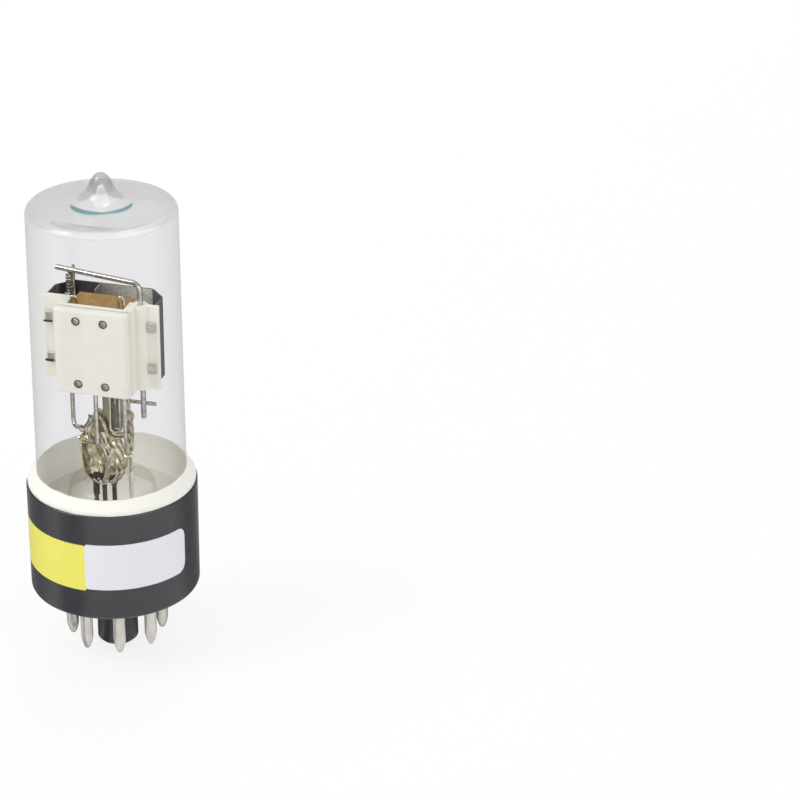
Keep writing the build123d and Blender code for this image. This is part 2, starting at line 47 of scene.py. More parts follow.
class Wire:
    # wraps an output socket, so that shader maths reads like plain maths
    def __init__(self, finish, socket):
        self.finish = finish
        self.socket = socket

    def maths(self, operation, first, second):
        return self.finish.add("ShaderNodeMath", {"operation": operation}, {0: first, 1: second})

    def __add__(self, other):
        return self.maths("ADD", self, other)

    def __radd__(self, other):
        return self.maths("ADD", other, self)

    def __sub__(self, other):
        return self.maths("SUBTRACT", self, other)

    def __rsub__(self, other):
        return self.maths("SUBTRACT", other, self)

    def __mul__(self, other):
        return self.maths("MULTIPLY", self, other)

    def __rmul__(self, other):
        return self.maths("MULTIPLY", other, self)

    def __pow__(self, other):
        return self.maths("POWER", self, other)

    def __gt__(self, other):
        return self.maths("GREATER_THAN", self, other)

    def __lt__(self, other):
        return self.maths("LESS_THAN", self, other)

    def __neg__(self):
        return self.maths("MULTIPLY", self, -1.0)

    def larger(self, other):
        return self.maths("MAXIMUM", self, other)

    def between(self, low, high, toLow=0.0, toHigh=1.0):
        values = {"Value": self, "From Min": low, "From Max": high, "To Min": toLow, "To Max": toHigh}
        return self.finish.add("ShaderNodeMapRange", {"interpolation_type": "SMOOTHSTEP"}, values)


class Finish:
    # one material and its node tree
    def __init__(self, name):
        self.material = bpy.data.materials.new(name)
        self.material.use_nodes = True
        self.tree = self.material.node_tree
        self.tree.nodes.clear()
        self.end = self.tree.nodes.new("ShaderNodeOutputMaterial")

    def add(self, kind, settings, values, out=0):
        # one node of any kind: its settings first, then the values or links of its sockets
        node = self.tree.nodes.new(kind)
        for key, value in settings.items():
            setattr(node, key, value)
        for key, value in values.items():
            self.plug(node.inputs[key], value)
        return Wire(self, node.outputs[out])

    def plug(self, socket, value):
        if isinstance(value, Wire):
            self.tree.links.new(value.socket, socket)
        elif isinstance(value, (tuple, list)) and len(value) == 3 and socket.type == "RGBA":
            socket.default_value = (*value, 1.0)
        else:
            socket.default_value = value

    def place(self, scale=(1.0, 1.0, 1.0)):
        # object coordinates are in metres; this turns them into millimetres, stretched by scale
        coords = self.add("ShaderNodeTexCoord", {}, {}, "Object")
        stretch = tuple(1000.0 * s for s in scale)
        return self.add("ShaderNodeMapping", {}, {"Vector": coords, "Scale": stretch})

    def grain(self, scale, detail=4.0, roughness=0.5, stretch=(1.0, 1.0, 1.0)):
        values = {"Vector": self.place(stretch), "Scale": scale, "Detail": detail, "Roughness": roughness}
        return self.add("ShaderNodeTexNoise", {}, values, "Fac")

    def blend(self, factor, first, second):
        settings = {"data_type": "RGBA", "blend_type": "MIX"}
        return self.add("ShaderNodeMix", settings, {"Factor": factor, 6: first, 7: second}, 2)

    def bump(self, height, distance, strength):
        return self.add("ShaderNodeBump", {}, {"Height": height, "Distance": distance, "Strength": strength})

    def surface(self, values):
        return self.add("ShaderNodeBsdfPrincipled", {}, values)

    def seeThrough(self, colour):
        return self.add("ShaderNodeBsdfTransparent", {}, {"Color": colour})

    def glow(self, colour):
        return self.add("ShaderNodeEmission", {}, {"Color": colour, "Strength": 1.0})

    def mixed(self, factor, first, second):
        return self.add("ShaderNodeMixShader", {}, {0: factor, 1: first, 2: second})

    def path(self, output):
        return self.add("ShaderNodeLightPath", {}, {}, output)

    def looked(self):
        # 1 for what is looked at, straight, through glass or in a mirror; 0 for light that falls on a piece
        direct = self.path("Is Camera Ray").larger(self.path("Is Glossy Ray"))
        return direct.larger(self.path("Is Transmission Ray")) * (self.path("Diffuse Depth") < 0.5)

    def done(self, shader):
        self.tree.links.new(shader.socket, self.end.inputs["Surface"])
        return self.material


class Room(Finish):
    # the same kit on the world's node tree
    def __init__(self, name):
        self.material = bpy.data.worlds.new(name)
        self.material.use_nodes = True
        self.tree = self.material.node_tree
        self.tree.nodes.clear()
        self.end = self.tree.nodes.new("ShaderNodeOutputWorld")
        bpy.context.scene.world = self.material


def srgb(*screen):
    # 0 to 255 screen values to linear light
    return tuple(((c / 255 + 0.055) / 1.055) ** 2.4 if c > 10 else c / 255 / 12.92 for c in screen)


# finishes

def phenolicFinish():
    f = Finish("satinBlackPhenolic")
    mottle = f.grain(0.35, detail=6.0)
    fine = f.grain(9.0, detail=3.0)
    rubbed = f.grain(1.4, detail=8.0, roughness=0.65).between(0.60, 0.80)
    colour = f.blend(mottle, srgb(46, 46, 51), srgb(58, 58, 63))
    colour = f.blend(rubbed * 0.25, colour, srgb(84, 84, 88))
    rough = mottle * 0.08 + rubbed * 0.10 + 0.22
    return f.done(f.surface({"Base Color": colour, "Roughness": rough, "IOR": 1.6,
                             "Normal": f.bump(fine, 0.02 * mm, 0.25)}))


def cementFinish():
    f = Finish("basingCement")
    lumps = f.grain(0.8, detail=6.0, roughness=0.6)
    pits = f.grain(5.0, detail=3.0).between(0.28, 0.38)
    colour = f.blend(lumps, srgb(241, 240, 232), srgb(248, 247, 240))
    # the pits are sunk by the bump and coloured darker: painted shade
    colour = f.blend((1 - pits) * 0.6, colour, srgb(222, 219, 208))
    height = lumps * 0.6 + pits * 0.4
    return f.done(f.surface({"Base Color": colour, "Roughness": 0.55,
                             "Normal": f.bump(height, 0.06 * mm, 0.5)}))


def ceramicFinish():
    f = Finish("creamAlumina")
    cloud = f.grain(0.28, detail=3.0)
    grit = f.grain(14.0, detail=2.0)
    stain = f.grain(0.5, detail=5.0, roughness=0.6).between(0.62, 0.82)
    colour = f.blend(cloud, srgb(244, 240, 227), srgb(251, 248, 237))
    colour = f.blend(stain * 0.4, colour, srgb(226, 219, 203))
    return f.done(f.surface({"Base Color": colour, "Roughness": 0.40 + cloud * 0.12, "Subsurface Weight": 0.3,
                             "Subsurface Radius": (1.0, 0.85, 0.7), "Subsurface Scale": 0.7 * mm,
                             "Normal": f.bump(grit, 0.012 * mm, 0.35)}))


def glassFinish(name, body, edge, mirrorShare, bentAbove=1000.0):
    # a thin wall: what lies behind shows straight through, tinted more where it is looked at edgeways;
    # only the thick glass above bentAbove (mm) bends light
    rim = 3.0
    bentShare = 0.42
    f = Finish(name)
    facing = f.add("ShaderNodeLayerWeight", {}, {"Blend": 0.50}, "Facing")
    height = f.add("ShaderNodeSeparateXYZ", {}, {0: f.place()}, "Z")
    seed = f.grain(0.10, detail=2.0, stretch=(1.0, 1.0, 0.25))
    ripple = f.bump(seed, 0.10 * mm, 0.10)
    straight = f.mixed(facing ** rim, f.seeThrough(body), f.seeThrough(edge))
    mirror = f.add("ShaderNodeBsdfGlossy", {}, {"Color": (0.95, 0.95, 0.95), "Roughness": 0.02,
                                                "Normal": ripple})
    thin = f.mixed(facing ** 5 * mirrorShare + 0.03, straight, mirror)
    glass = f.surface({"Base Color": (0.985, 0.985, 0.985), "Roughness": 0.0, "IOR": 1.42,
                       "Transmission Weight": 1.0, "Normal": ripple})
    seen = f.mixed(height.between(bentAbove, bentAbove + 0.8) * bentShare, thin, glass)
    return f.done(f.mixed(f.path("Is Shadow Ray"), seen, f.seeThrough((0.98, 0.98, 0.98))))


def tealFinish():
    # painted reflection: the coloured glint low in the tip's flare, painted onto a teal sheet
    f = Finish("paintedTealReflection")
    cloud = f.grain(1.5, detail=3.0)
    colour = f.blend(cloud.between(0.3, 0.7), srgb(34, 112, 116), srgb(66, 144, 146))
    paint = f.surface({"Base Color": colour, "Roughness": 0.3})
    return f.done(f.mixed(cloud.between(0.2, 0.9) * 0.2 + 0.78, f.seeThrough((0.95, 0.98, 0.98)), paint))


def metalFinish(name, dark, light, roughness, spread, scale=1.2, stretch=(1.0, 1.0, 1.0), lines=0.3,
                metal=1.0):
    f = Finish(name)
    cloud = f.grain(scale, detail=5.0, roughness=0.6)
    draw = f.grain(6.0, detail=3.0, stretch=stretch)
    colour = f.blend(cloud.between(0.35, 0.68), dark, light)
    return f.done(f.surface({"Base Color": colour, "Metallic": metal, "Roughness": cloud * spread + roughness,
                             "Normal": f.bump(draw, 0.02 * mm, lines)}))


def stickerFinish(name, base, worn):
    f = Finish(name)
    paper = f.grain(2.2, detail=6.0, roughness=0.6)
    fibre = f.grain(16.0, detail=2.0, stretch=(1.0, 1.0, 0.3))
    colour = f.blend(paper.between(0.35, 0.75), base, worn)
    return f.done(f.surface({"Base Color": colour, "Roughness": 0.36 + paper * 0.12, "Coat Weight": 0.2,
                             "Coat Roughness": 0.25, "Normal": f.bump(fibre, 0.01 * mm, 0.3)}))


def mottledSheetFinish(name, dark, light, metal=0.85):
    f = Finish(name)
    spots = f.grain(5.5, detail=6.0, roughness=0.75)
    cloud = f.grain(0.5, detail=3.0)
    colour = f.blend(spots.between(0.35, 0.65), dark, light)
    colour = f.blend(cloud.between(0.5, 0.7) * 0.5, colour, dark)
    return f.done(f.surface({"Base Color": colour, "Metallic": metal, "Roughness": spots * 0.22 + 0.28,
                             "Normal": f.bump(spots, 0.03 * mm, 0.4)}))


def beadFinish():
    f = Finish("beadGlass")
    cloud = f.grain(0.9, detail=4.0)
    colour = f.blend(cloud.between(0.35, 0.7), srgb(176, 167, 148), srgb(208, 200, 184))
    return f.done(f.surface({"Base Color": colour, "Roughness": 0.16 + cloud * 0.12, "IOR": 1.5,
                             "Normal": f.bump(cloud, 0.04 * mm, 0.3)}))


def fadingSheetFinish():
    # sooty by the partition and clearer towards the open end
    f = Finish("fadingSheet")
    spots = f.grain(3.2, detail=7.0, roughness=0.75)
    across = f.add("ShaderNodeSeparateXYZ", {}, {0: f.place()}, "X").between(-2.6, 7.5)
    dark = f.blend(across, srgb(122, 116, 102), srgb(192, 189, 183))
    light = f.blend(across, srgb(178, 172, 158), srgb(246, 244, 240))
    colour = f.blend(spots.between(0.38, 0.62), dark, light)
    return f.done(f.surface({"Base Color": colour, "Metallic": 0.1, "Roughness": spots * 0.25 + 0.32,
                             "Normal": f.bump(spots, 0.03 * mm, 0.4)}))


def tintedSheetFinish():
    f = Finish("heatTintedSheet")
    cloud = f.grain(0.7, detail=4.0)
    fine = f.grain(7.0, detail=4.0, roughness=0.7)
    colour = f.blend(cloud.between(0.35, 0.7), srgb(150, 112, 40), srgb(168, 130, 56))
    colour = f.blend(fine.between(0.55, 0.75) * 0.4, colour, srgb(124, 90, 32))
    return f.done(f.surface({"Base Color": colour, "Metallic": 0.0, "Roughness": fine * 0.15 + 0.5,
                             "Normal": f.bump(fine, 0.02 * mm, 0.3)}))


finishes = {
    "phenolic": phenolicFinish(),
    "cement": cementFinish(),
    "ceramic": ceramicFinish(),
    "glass": glassFinish("bulbGlass", (0.900, 0.901, 0.912), (0.82, 0.80, 0.75), 0.35),
    "crownGlass": glassFinish("crownGlass", (0.974, 0.974, 0.978), (0.86, 0.84, 0.80), 0.35, bentAbove=90.4),
    "teal": tealFinish(),
    "stemGlass": glassFinish("stemGlass", (0.97, 0.965, 0.95), (0.74, 0.72, 0.66), 0.5),
    "nickel": metalFinish("brightNickel", srgb(196, 190, 174), srgb(234, 229, 216), 0.06, 0.12),
    "pins": metalFinish("platedPin", srgb(228, 224, 214), srgb(240, 237, 230), 0.16, 0.06, scale=0.4,
                        stretch=(1.0, 1.0, 0.08), lines=0.08, metal=0.62),
    "ribbon": metalFinish("annealedRibbon", srgb(186, 177, 150), srgb(246, 240, 222), 0.06, 0.14, scale=0.8),
    "beige": metalFinish("beigeSheet", srgb(168, 160, 142), srgb(196, 190, 174), 0.38, 0.2, scale=2.5),
    "rod": metalFinish("drawnRod", srgb(164, 160, 152), srgb(214, 210, 200), 0.12, 0.16,
                       stretch=(0.15, 1.0, 1.0)),
    "rivet": metalFinish("rivetEnd", srgb(176, 168, 158), srgb(214, 207, 198), 0.30, 0.2),
    # darker rings round the rivet heads: painted shade of their recesses
    "recess": metalFinish("rivetRecessShade", srgb(112, 106, 98), srgb(146, 139, 130), 0.42, 0.2),
    "darkLead": metalFinish("oxidisedLead", srgb(56, 52, 46), srgb(98, 92, 82), 0.30, 0.25),
    "coilWire": metalFinish("coilWire", srgb(96, 92, 84), srgb(168, 164, 156), 0.2, 0.2),
    "bead": beadFinish(),
    "soot": mottledSheetFinish("sootedSheet", srgb(13, 12, 10), srgb(30, 27, 23), metal=0.0),
    "blueSheet": mottledSheetFinish("bluedSheet", srgb(58, 60, 72), srgb(92, 94, 106), metal=0.4),
    "foldedTab": metalFinish("foldedTab", srgb(206, 203, 192), srgb(232, 229, 219), 0.35, 0.2),
    "shield": mottledSheetFinish("mottledShield", srgb(92, 88, 80), srgb(170, 168, 160)),
    "fading": fadingSheetFinish(),
    "tinted": tintedSheetFinish(),
    "whiteSticker": stickerFinish("whiteSticker", srgb(226, 227, 232), srgb(234, 234, 238)),
    "yellowSticker": stickerFinish("yellowSticker", srgb(236, 228, 92), srgb(240, 234, 112)),
}
print("finishes ready")


# mesh helpers

mostReach = 0.49  # the share of a run that a rounded corner may take


def buildPiece(name, vertices, faces, finish, slotName, smooth=True, standsFor=()):
    # the shapes below are worked out in millimetres
    mesh = bpy.data.meshes.new(name)
    mesh.from_pydata([tuple(Vector(v) * mm) for v in vertices], [], faces)
    mesh.validate()
    mesh.materials.append(finishes[finish])
    for polygon in mesh.polygons:
        polygon.use_smooth = smooth
    piece = bpy.data.objects.new(name, mesh)
    bpy.context.scene.collection.objects.link(piece)
    fixNormals(mesh)
    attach(piece, "root")
    if standsFor:
        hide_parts(*standsFor)
    return piece


def fixNormals(mesh):
    # points closer than this are one point, so that a seam doesn't split a surface
    seam = 0.0005 * mm
    work = bmesh.new()
    work.from_mesh(mesh)
    bmesh.ops.remove_doubles(work, verts=work.verts[:], dist=seam)
    bmesh.ops.recalc_face_normals(work, faces=work.faces)
    work.to_mesh(mesh)
    work.free()


def sharpAt(piece, degrees):
    # flat faces stay flat: edges over this angle are shaded sharp
    work = bmesh.new()
    work.from_mesh(piece.data)
    for edge in work.edges:
        if len(edge.link_faces) == 2 and edge.calc_face_angle(0.0) > math.radians(degrees):
            edge.smooth = False
    work.to_mesh(piece.data)
    work.free()


def softCorners(corners, steps=6):
    # a polyline of (a, b, radius) corners with each one rounded by an arc, in the same units
    points = []
    count = len(corners)
    for i, (a, b, radius) in enumerate(corners):
        here = Vector((a, b))
        if radius <= 0 or i in (0, count - 1):
            points.append((a, b))
            continue
        before = Vector(corners[i - 1][:2]) - here
        after = Vector(corners[i + 1][:2]) - here
        half = before.angle(after) / 2
        reach = min(radius / math.tan(half), before.length * mostReach, after.length * mostReach)
        radius = reach * math.tan(half)
        centre = here + (before.normalized() + after.normalized()).normalized() * radius / math.sin(half)
        start = here + before.normalized() * reach - centre
        finish = here + after.normalized() * reach - centre
        turn = start.angle_signed(finish)
        for step in range(steps + 1):
            turned = Matrix.Rotation(-turn * step / steps, 2) @ start
            points.append(tuple(centre + turned))
    return points


def lathe(profile, segments, wobble=None, centre=(0.0, 0.0)):
    # turns a half section of (radius, z) about the axis; wobble moves a point
    vertices, faces, rings = [], [], []
    for radius, z in profile:
        if radius < 1e-7:
            rings.append([len(vertices)])
            vertices.append(Vector((centre[0], centre[1], z)))
            continue
        ring = []
        for i in range(segments):
            angle = 2 * math.pi * i / segments
            x = centre[0] + radius * math.cos(angle)
            y = centre[1] + radius * math.sin(angle)
            ring.append(len(vertices))
            vertices.append(Vector((x, y, z)))
        rings.append(ring)
    for low, high in zip(rings, rings[1:]):
        for i in range(segments):
            j = (i + 1) % segments
            if len(low) == 1 and len(high) == 1:
                break
            if len(low) == 1:
                faces.append((low[0], high[j], high[i]))
            elif len(high) == 1:
                faces.append((low[i], low[j], high[0]))
            else:
                faces.append((low[i], low[j], high[j], high[i]))
    if wobble:
        vertices = [wobble(v) for v in vertices]
    return vertices, faces


def smoothPath(points, steps=8):
    # a rounded path through given points
    points = [Vector(p) for p in points]
    padded = [2 * points[0] - points[1]] + points + [2 * points[-1] - points[-2]]
    path = []
    for i in range(1, len(padded) - 2):
        a, b, c, d = padded[i - 1:i + 3]
        for step in range(steps):
            t = step / steps
            path.append(0.5 * (2 * b + (c - a) * t + (2 * a - 5 * b + 4 * c - d) * t * t
                               + (3 * b - a - 3 * c + d) * t * t * t))
    path.append(points[-1])
    return path


def bentPath(points, radius, steps=6):
    # straight runs with round bends between them
    points = [Vector(p) for p in points]
    path = [points[0]]
    for before, here, after in zip(points, points[1:], points[2:]):
        back = before - here
        on = after - here
        half = back.angle(on) / 2
        reach = min(radius / math.tan(half), back.length * mostReach, on.length * mostReach)
        start = here + back.normalized() * reach
        finish = here + on.normalized() * reach
        for step in range(steps + 1):
            t = step / steps
            path.append((1 - t) ** 2 * start + 2 * t * (1 - t) * here + t * t * finish)
    path.append(points[-1])
    return path


def sweepSection(path, section, firstSide, scaleAt=None):
    # carries a closed section of (side, up) points along a path; scaleAt gives its scale from 0 to 1 along it
    vertices, faces = [], []
    side = Vector(firstSide).normalized()
    count = len(section)
    for i, point in enumerate(path):
        ahead = path[min(i + 1, len(path) - 1)] - path[max(i - 1, 0)]
        ahead.normalize()
        side = (side - ahead * side.dot(ahead)).normalized()
        up = ahead.cross(side)
        scale = scaleAt(i / (len(path) - 1)) if scaleAt else 1.0
        for a, b in section:
            vertices.append(point + (side * a + up * b) * scale)
    for i in range(len(path) - 1):
        for k in range(count):
            n = (k + 1) % count
            faces.append((i * count + k, i * count + n, (i + 1) * count + n, (i + 1) * count + k))
    faces.append(tuple(range(count)))
    faces.append(tuple((len(path) - 1) * count + k for k in reversed(range(count))))
    return vertices, faces


def roundSection(radius, sides):
    return [(radius * math.cos(2 * math.pi * k / sides), radius * math.sin(2 * math.pi * k / sides))
            for k in range(sides)]


def flatSection(width, thickness):
    # a strip with softly rounded edges
    w, t = width / 2, thickness / 2
    e = t * 0.6
    return [(-w + e, -t), (0, -t), (w - e, -t), (w, -t + e), (w, t - e), (w - e, t), (0, t), (-w + e, t),
            (-w, t - e), (-w, -t + e)]


def halfCircle(steps):
    # from the bottom pole to the top one, as (radius, z) for the lathe
    points = [(math.sin(math.pi * i / steps), -math.cos(math.pi * i / steps)) for i in range(steps + 1)]
    points[0], points[-1] = (0.0, -1.0), (0.0, 1.0)
    return points


# camera, at the photograph's place

view = {
    "lens": 117.0, "sensor": 36.0, "place": (0.16092, -0.41488, 0.26809),
    "turn": 14.1, "tilt": 64.01, "roll": 0.85,
}


def placeCamera():
    data = bpy.data.cameras.new("photoCamera")
    data.lens = view["lens"]
    data.sensor_width = view["sensor"]
    data.clip_start = 0.01
    data.clip_end = 20.0
    turn = Matrix.Rotation(math.radians(view["turn"]), 4, "Z")
    tilt = Matrix.Rotation(math.radians(view["tilt"]), 4, "X")
    roll = Matrix.Rotation(math.radians(view["roll"]), 4, "Z")
    camera = bpy.data.objects.new("photoCamera", data)
    camera.matrix_world = Matrix.Translation(view["place"]) @ turn @ tilt @ roll
    bpy.context.scene.collection.objects.link(camera)
    bpy.context.scene.camera = camera


placeCamera()
bpy.context.scene.view_settings.view_transform = "Standard"

studio = {
    "keySize": 0.50, "keyPower": 4.05, "keyPlace": (-0.60, -0.45, 0.80),
    "fillSize": 0.60, "fillPower": 1.5, "fillPlace": (0.75, -0.45, 0.45),
    "backSize": 0.50, "backPower": 1.7, "backPlace": (-0.10, 0.75, 0.60), "aim": (0.0, 0.0, 0.05),
    "surround": 0.70, "frontDirection": (0.36, -0.93, 0.0), "screenDirection": (-0.52, -0.85, 0.0),
    "openLevel": 1.0, "sideLevel": 0.08, "behindLevel": 0.55, "screenShade": 0.85,
    "floorReach": 3.0, "floorDrop": 0.0002, "floorShow": 0.82,
}


def softLamp(name):
    size, power, place = (studio[name + part] for part in ("Size", "Power", "Place"))
    data = bpy.data.lights.new(name + "Lamp", "AREA")
    data.shape = "DISK"
    data.size = size
    data.energy = power
    lamp = bpy.data.objects.new(name + "Lamp", data)
    lamp.location = place
    lamp.rotation_euler = (Vector(studio["aim"]) - Vector(place)).to_track_quat("-Z", "Y").to_euler()
    bpy.context.scene.collection.objects.link(lamp)
    return lamp


def roomLevel(kit, across):
    # how bright the room is in a mirror, by its side: lit in front, with a shaded strip, and dimmer elsewhere
    def towards(direction):
        dot = {"operation": "DOT_PRODUCT"}
        return kit.add("ShaderNodeVectorMath", dot, {0: across, 1: direction}, "Value")

    ahead = towards(studio["frontDirection"])
    openSide = ahead.between(-0.25, 0.35)
    behind = (-ahead).between(0.55, 0.95)
    screen = towards(studio["screenDirection"]).between(0.930, 0.985)
    level = studio["sideLevel"] + openSide * (studio["openLevel"] - studio["sideLevel"])
    level = level + behind * (studio["behindLevel"] - studio["sideLevel"])
    return level * (1 - screen * studio["screenShade"])


def paintWorld():
    # plain white where it is looked at; a softer room with lit and dim sides lights the lamp and its mirrors
    room = Room("paleStudio")
    seen = room.looked()
    way = room.add("ShaderNodeTexCoord", {}, {}, "Generated")
    flat = room.add("ShaderNodeVectorMath", {"operation": "MULTIPLY"}, {0: way, 1: (1.0, 1.0, 0.0)})
    across = room.add("ShaderNodeVectorMath", {"operation": "NORMALIZE"}, {0: flat})
    rise = room.add("ShaderNodeSeparateXYZ", {}, {0: way}, "Z")
    overhead = rise.between(0.45, 0.80)
    level = roomLevel(room, across)
    level = level + overhead * (1 - level)
    mirrored = room.path("Glossy Depth") > 0.5
    strength = seen * (1 - mirrored + mirrored * level) + (1 - seen) * studio["surround"]
    room.done(room.add("ShaderNodeBackground", {}, {"Color": (1.0, 1.0, 1.0), "Strength": strength}))


paintWorld()
softLamp("key")
softLamp("fill")
softLamp("back").visible_glossy = False


def layFloor():
    f = Finish("paleFloor")
    fine = f.grain(0.02, detail=2.0)
    colour = f.blend(fine, (0.90, 0.90, 0.90), (0.93, 0.93, 0.93))
    matte = f.surface({"Base Color": colour, "Roughness": 0.85, "Specular IOR Level": 0.2})
    place = f.add("ShaderNodeTexCoord", {}, {}, "Object")
    across = f.add("ShaderNodeVectorMath", {"operation": "NORMALIZE"}, {0: place})
    away = f.add("ShaderNodeVectorMath", {"operation": "LENGTH"}, {0: place}, "Value")
    # in mirrors the floor glows white, dimmed by the room's sides and darker close to the lamp's foot:
    # painted shade
    level = roomLevel(f, across) * away.between(0.03, 0.16, 0.70, 1.0)
    mirrored = f.path("Glossy Depth") > 0.5
    white = f.glow((1.0, 1.0, 1.0))
    dim = f.glow((0.0, 0.0, 0.0))
    shown = f.mixed(mirrored * (1 - level), white, dim)
    f.done(f.mixed(f.looked() * studio["floorShow"], matte, shown))
    work = bmesh.new()
    bmesh.ops.create_grid(work, x_segments=8, y_segments=8, size=studio["floorReach"])
    mesh = bpy.data.meshes.new("floor")
    work.to_mesh(mesh)
    work.free()
    mesh.materials.append(f.material)
    floor = bpy.data.objects.new("floor", mesh)
    floor.location = (0.0, 0.0, -studio["floorDrop"])
    bpy.context.scene.collection.objects.link(floor)


layFloor()
print("camera, lamps and floor ready")


# carried-over parts and their finishes

nodeFinish = {
    "ceramic": ["rear_insulator", "spacer_insulator"],
    "beige": ["wide_ribbon"],
    "rivet": ["rear_rivets"],
    "nickel": ["anode_backing", "anode", "aperture_plate", "cross_wire", "post_wire", "cathode_sleeve",
               "cathode_lead", "centre_lead", "right_lead", "bead_lead", "slit_partition"],
    "rod": ["support_rod"],
    "tinted": ["cover_plate"],
    "shield": ["shield_box"],
    "pins": ["contact_pin_%d" % n for n in range(1, 9)],
    "darkLead": ["stem_lead_left", "stem_lead_middle", "stem_lead_right"],
    "cement": ["stem_lead_side"],
}

for finish, names in nodeFinish.items():
    for name in names:
        nodes[name].data.materials.clear()
        nodes[name].data.materials.append(finishes[finish])
print("finishes given to the carried-over parts")


# base shell with its guide post, turned as one section

shell = {
    "radius": 16.35, "innerRadius": 15.2, "bottom": 13.2, "top": 35.5, "floorTop": 16.2,
    "footRound": 0.9, "rimRound": 0.35,
    "postRadius": 3.96, "postChamfer": 0.75, "postBore": 2.56, "postFloor": 1.4,
    "keyWidth": 1.6, "keyProud": 1.1, "keyFoot": 1.4, "keySunk": 0.6, "keyRound": 0.22,
}


def roundedBlock(low, high, bevel, segments=3):
    # a block between two corners with rounded edges
    work = bmesh.new()
    bmesh.ops.create_cube(work, size=1.0)
    size = Vector(high) - Vector(low)
    middle = (Vector(high) + Vector(low)) / 2
    for vertex in work.verts:
        vertex.co = Vector((vertex.co.x * size.x, vertex.co.y * size.y, vertex.co.z * size.z)) + middle
    bmesh.ops.bevel(work, geom=work.edges[:], offset=bevel, segments=segments, affect="EDGES", profile=0.5)
    work.verts.index_update()
    vertices = [v.co.copy() for v in work.verts]
    faces = [tuple(v.index for v in face.verts) for face in work.faces]
    work.free()
    return vertices, faces


def joined(*parts):
    vertices, faces = [], []
    for partVertices, partFaces in parts:
        shift = len(vertices)
        vertices.extend(partVertices)
        faces.extend(tuple(i + shift for i in face) for face in partFaces)
    return vertices, faces


def makeShell():
    s = shell
    profile = softCorners([
        (0.0, 0.0, 0), (s["postRadius"] - s["postChamfer"], 0.0, 0.15),
        (s["postRadius"], s["postChamfer"], 0.3), (s["postRadius"], s["bottom"], 0.5),
        (s["radius"], s["bottom"], s["footRound"]), (s["radius"], s["top"], s["rimRound"]),
        (s["innerRadius"], s["top"], 0.15), (s["innerRadius"], s["floorTop"], 1.0),
        (s["postBore"], s["floorTop"], 0.1), (s["postBore"], s["postFloor"], 0.5), (0.0, s["postFloor"], 0),
    ])
    body = lathe(profile, 192)
    half = s["keyWidth"] / 2
    key = roundedBlock((-half, s["postRadius"] - s["keySunk"], s["keyFoot"]),
                       (half, s["postRadius"] + s["keyProud"], s["bottom"] + 0.2), s["keyRound"])
    piece = buildPiece("baseShell", *joined(body, key), "phenolic", "phenolic", standsFor=("base_shell",))
    sharpAt(piece, 50)


makeShell()
print("base shell ready")


# cement bead between the shell and the glass, uneven as it is smoothed by hand

bead = {
    "outer": 16.05, "foot": 35.5, "height": 2.6, "seat": 27.1, "glassRadius": 14.27, "glassFoot": 29.1,
    "unevenness": 0.22, "lumps": 0.16, "sideways": 0.10,
}


def makeCement():
    b = bead
    top = b["foot"] + b["height"]
    bore = shell["innerRadius"]
    profile = softCorners([
        (0.0, b["seat"], 0), (bore, b["seat"], 0), (bore, b["foot"] - 0.15, 0),
        (b["outer"], b["foot"] - 0.02, 0.1), (b["outer"] + 0.02, b["foot"] + 0.9, 0.5),
        (b["outer"] - 0.75, top - 0.75, 0.8), (b["glassRadius"] + 0.45, top - 0.05, 0.5),
        (b["glassRadius"] + 0.02, top + 0.10, 0.1), (b["glassRadius"] - 0.02, top - 0.6, 0),
        (b["glassRadius"] + 0.01, b["glassFoot"], 0), (0.0, b["glassFoot"], 0),
    ], steps=5)

    def wobble(v):
        angle = math.atan2(v.y, v.x)
        rise = (v.z - b["foot"]) / b["height"]
        if rise <= 0.02:
            return v
        out = Vector((math.cos(angle), math.sin(angle), 0.0))
        slow = noise.noise((out + Vector((0.0, 0.0, 3.1))) * 1.3) * b["unevenness"]
        fast = noise.noise((out + Vector((0.0, 0.0, rise * 0.4))) * 7.0) * b["lumps"]
        side = fast * 0.5 if math.hypot(v.x, v.y) > b["glassRadius"] + 0.1 else 0.0
        return v + Vector((0.0, 0.0, (slow + fast) * min(rise, 1.0))) + out * min(side, b["sideways"])

    cement = lathe(profile, 256, wobble)
    buildPiece("cementBead", *cement, "cement", "cement", standsFor=("basing_cement",))


makeCement()
print("cement ready")


# glass bulb: thin wall, soft shoulder, and the closed exhaust tip

bulb = {
    "footRadius": 14.3, "topRadius": 14.0, "foot": 29.1, "taperFrom": 35.5, "join": 90.3, "corner": 1.4,
    "wall": 0.4, "crown": 92.4, "crownRadius": 6.0, "tip": 97.8,
    "neck": [(4.3, 92.95), (3.0, 94.1), (2.3, 95.4), (1.75, 96.6), (1.05, 97.5), (0.45, 97.75)],
    "hollow": [(0.0, 95.6), (0.6, 95.3), (1.1, 94.4), (2.0, 93.1), (3.5, 92.2), (5.6, 91.75)],
    "leanFrom": 92.6, "leanWithin": 5.4, "leanOver": 6.0, "lean": (0.10, -0.16),
}


def along(first, second, t):
    return first + (second - first) * t


def wallSection():
    # the drawn tube as one sheet; its wall is too thin to bend what is seen through it
    b = bulb
    steps = 16
    wall = [(b["footRadius"], b["foot"])]
    for step in range(steps + 1):
        t = step / steps
        wall.append((along(b["footRadius"], b["topRadius"], t), along(b["taperFrom"], b["join"], t)))
    return wall


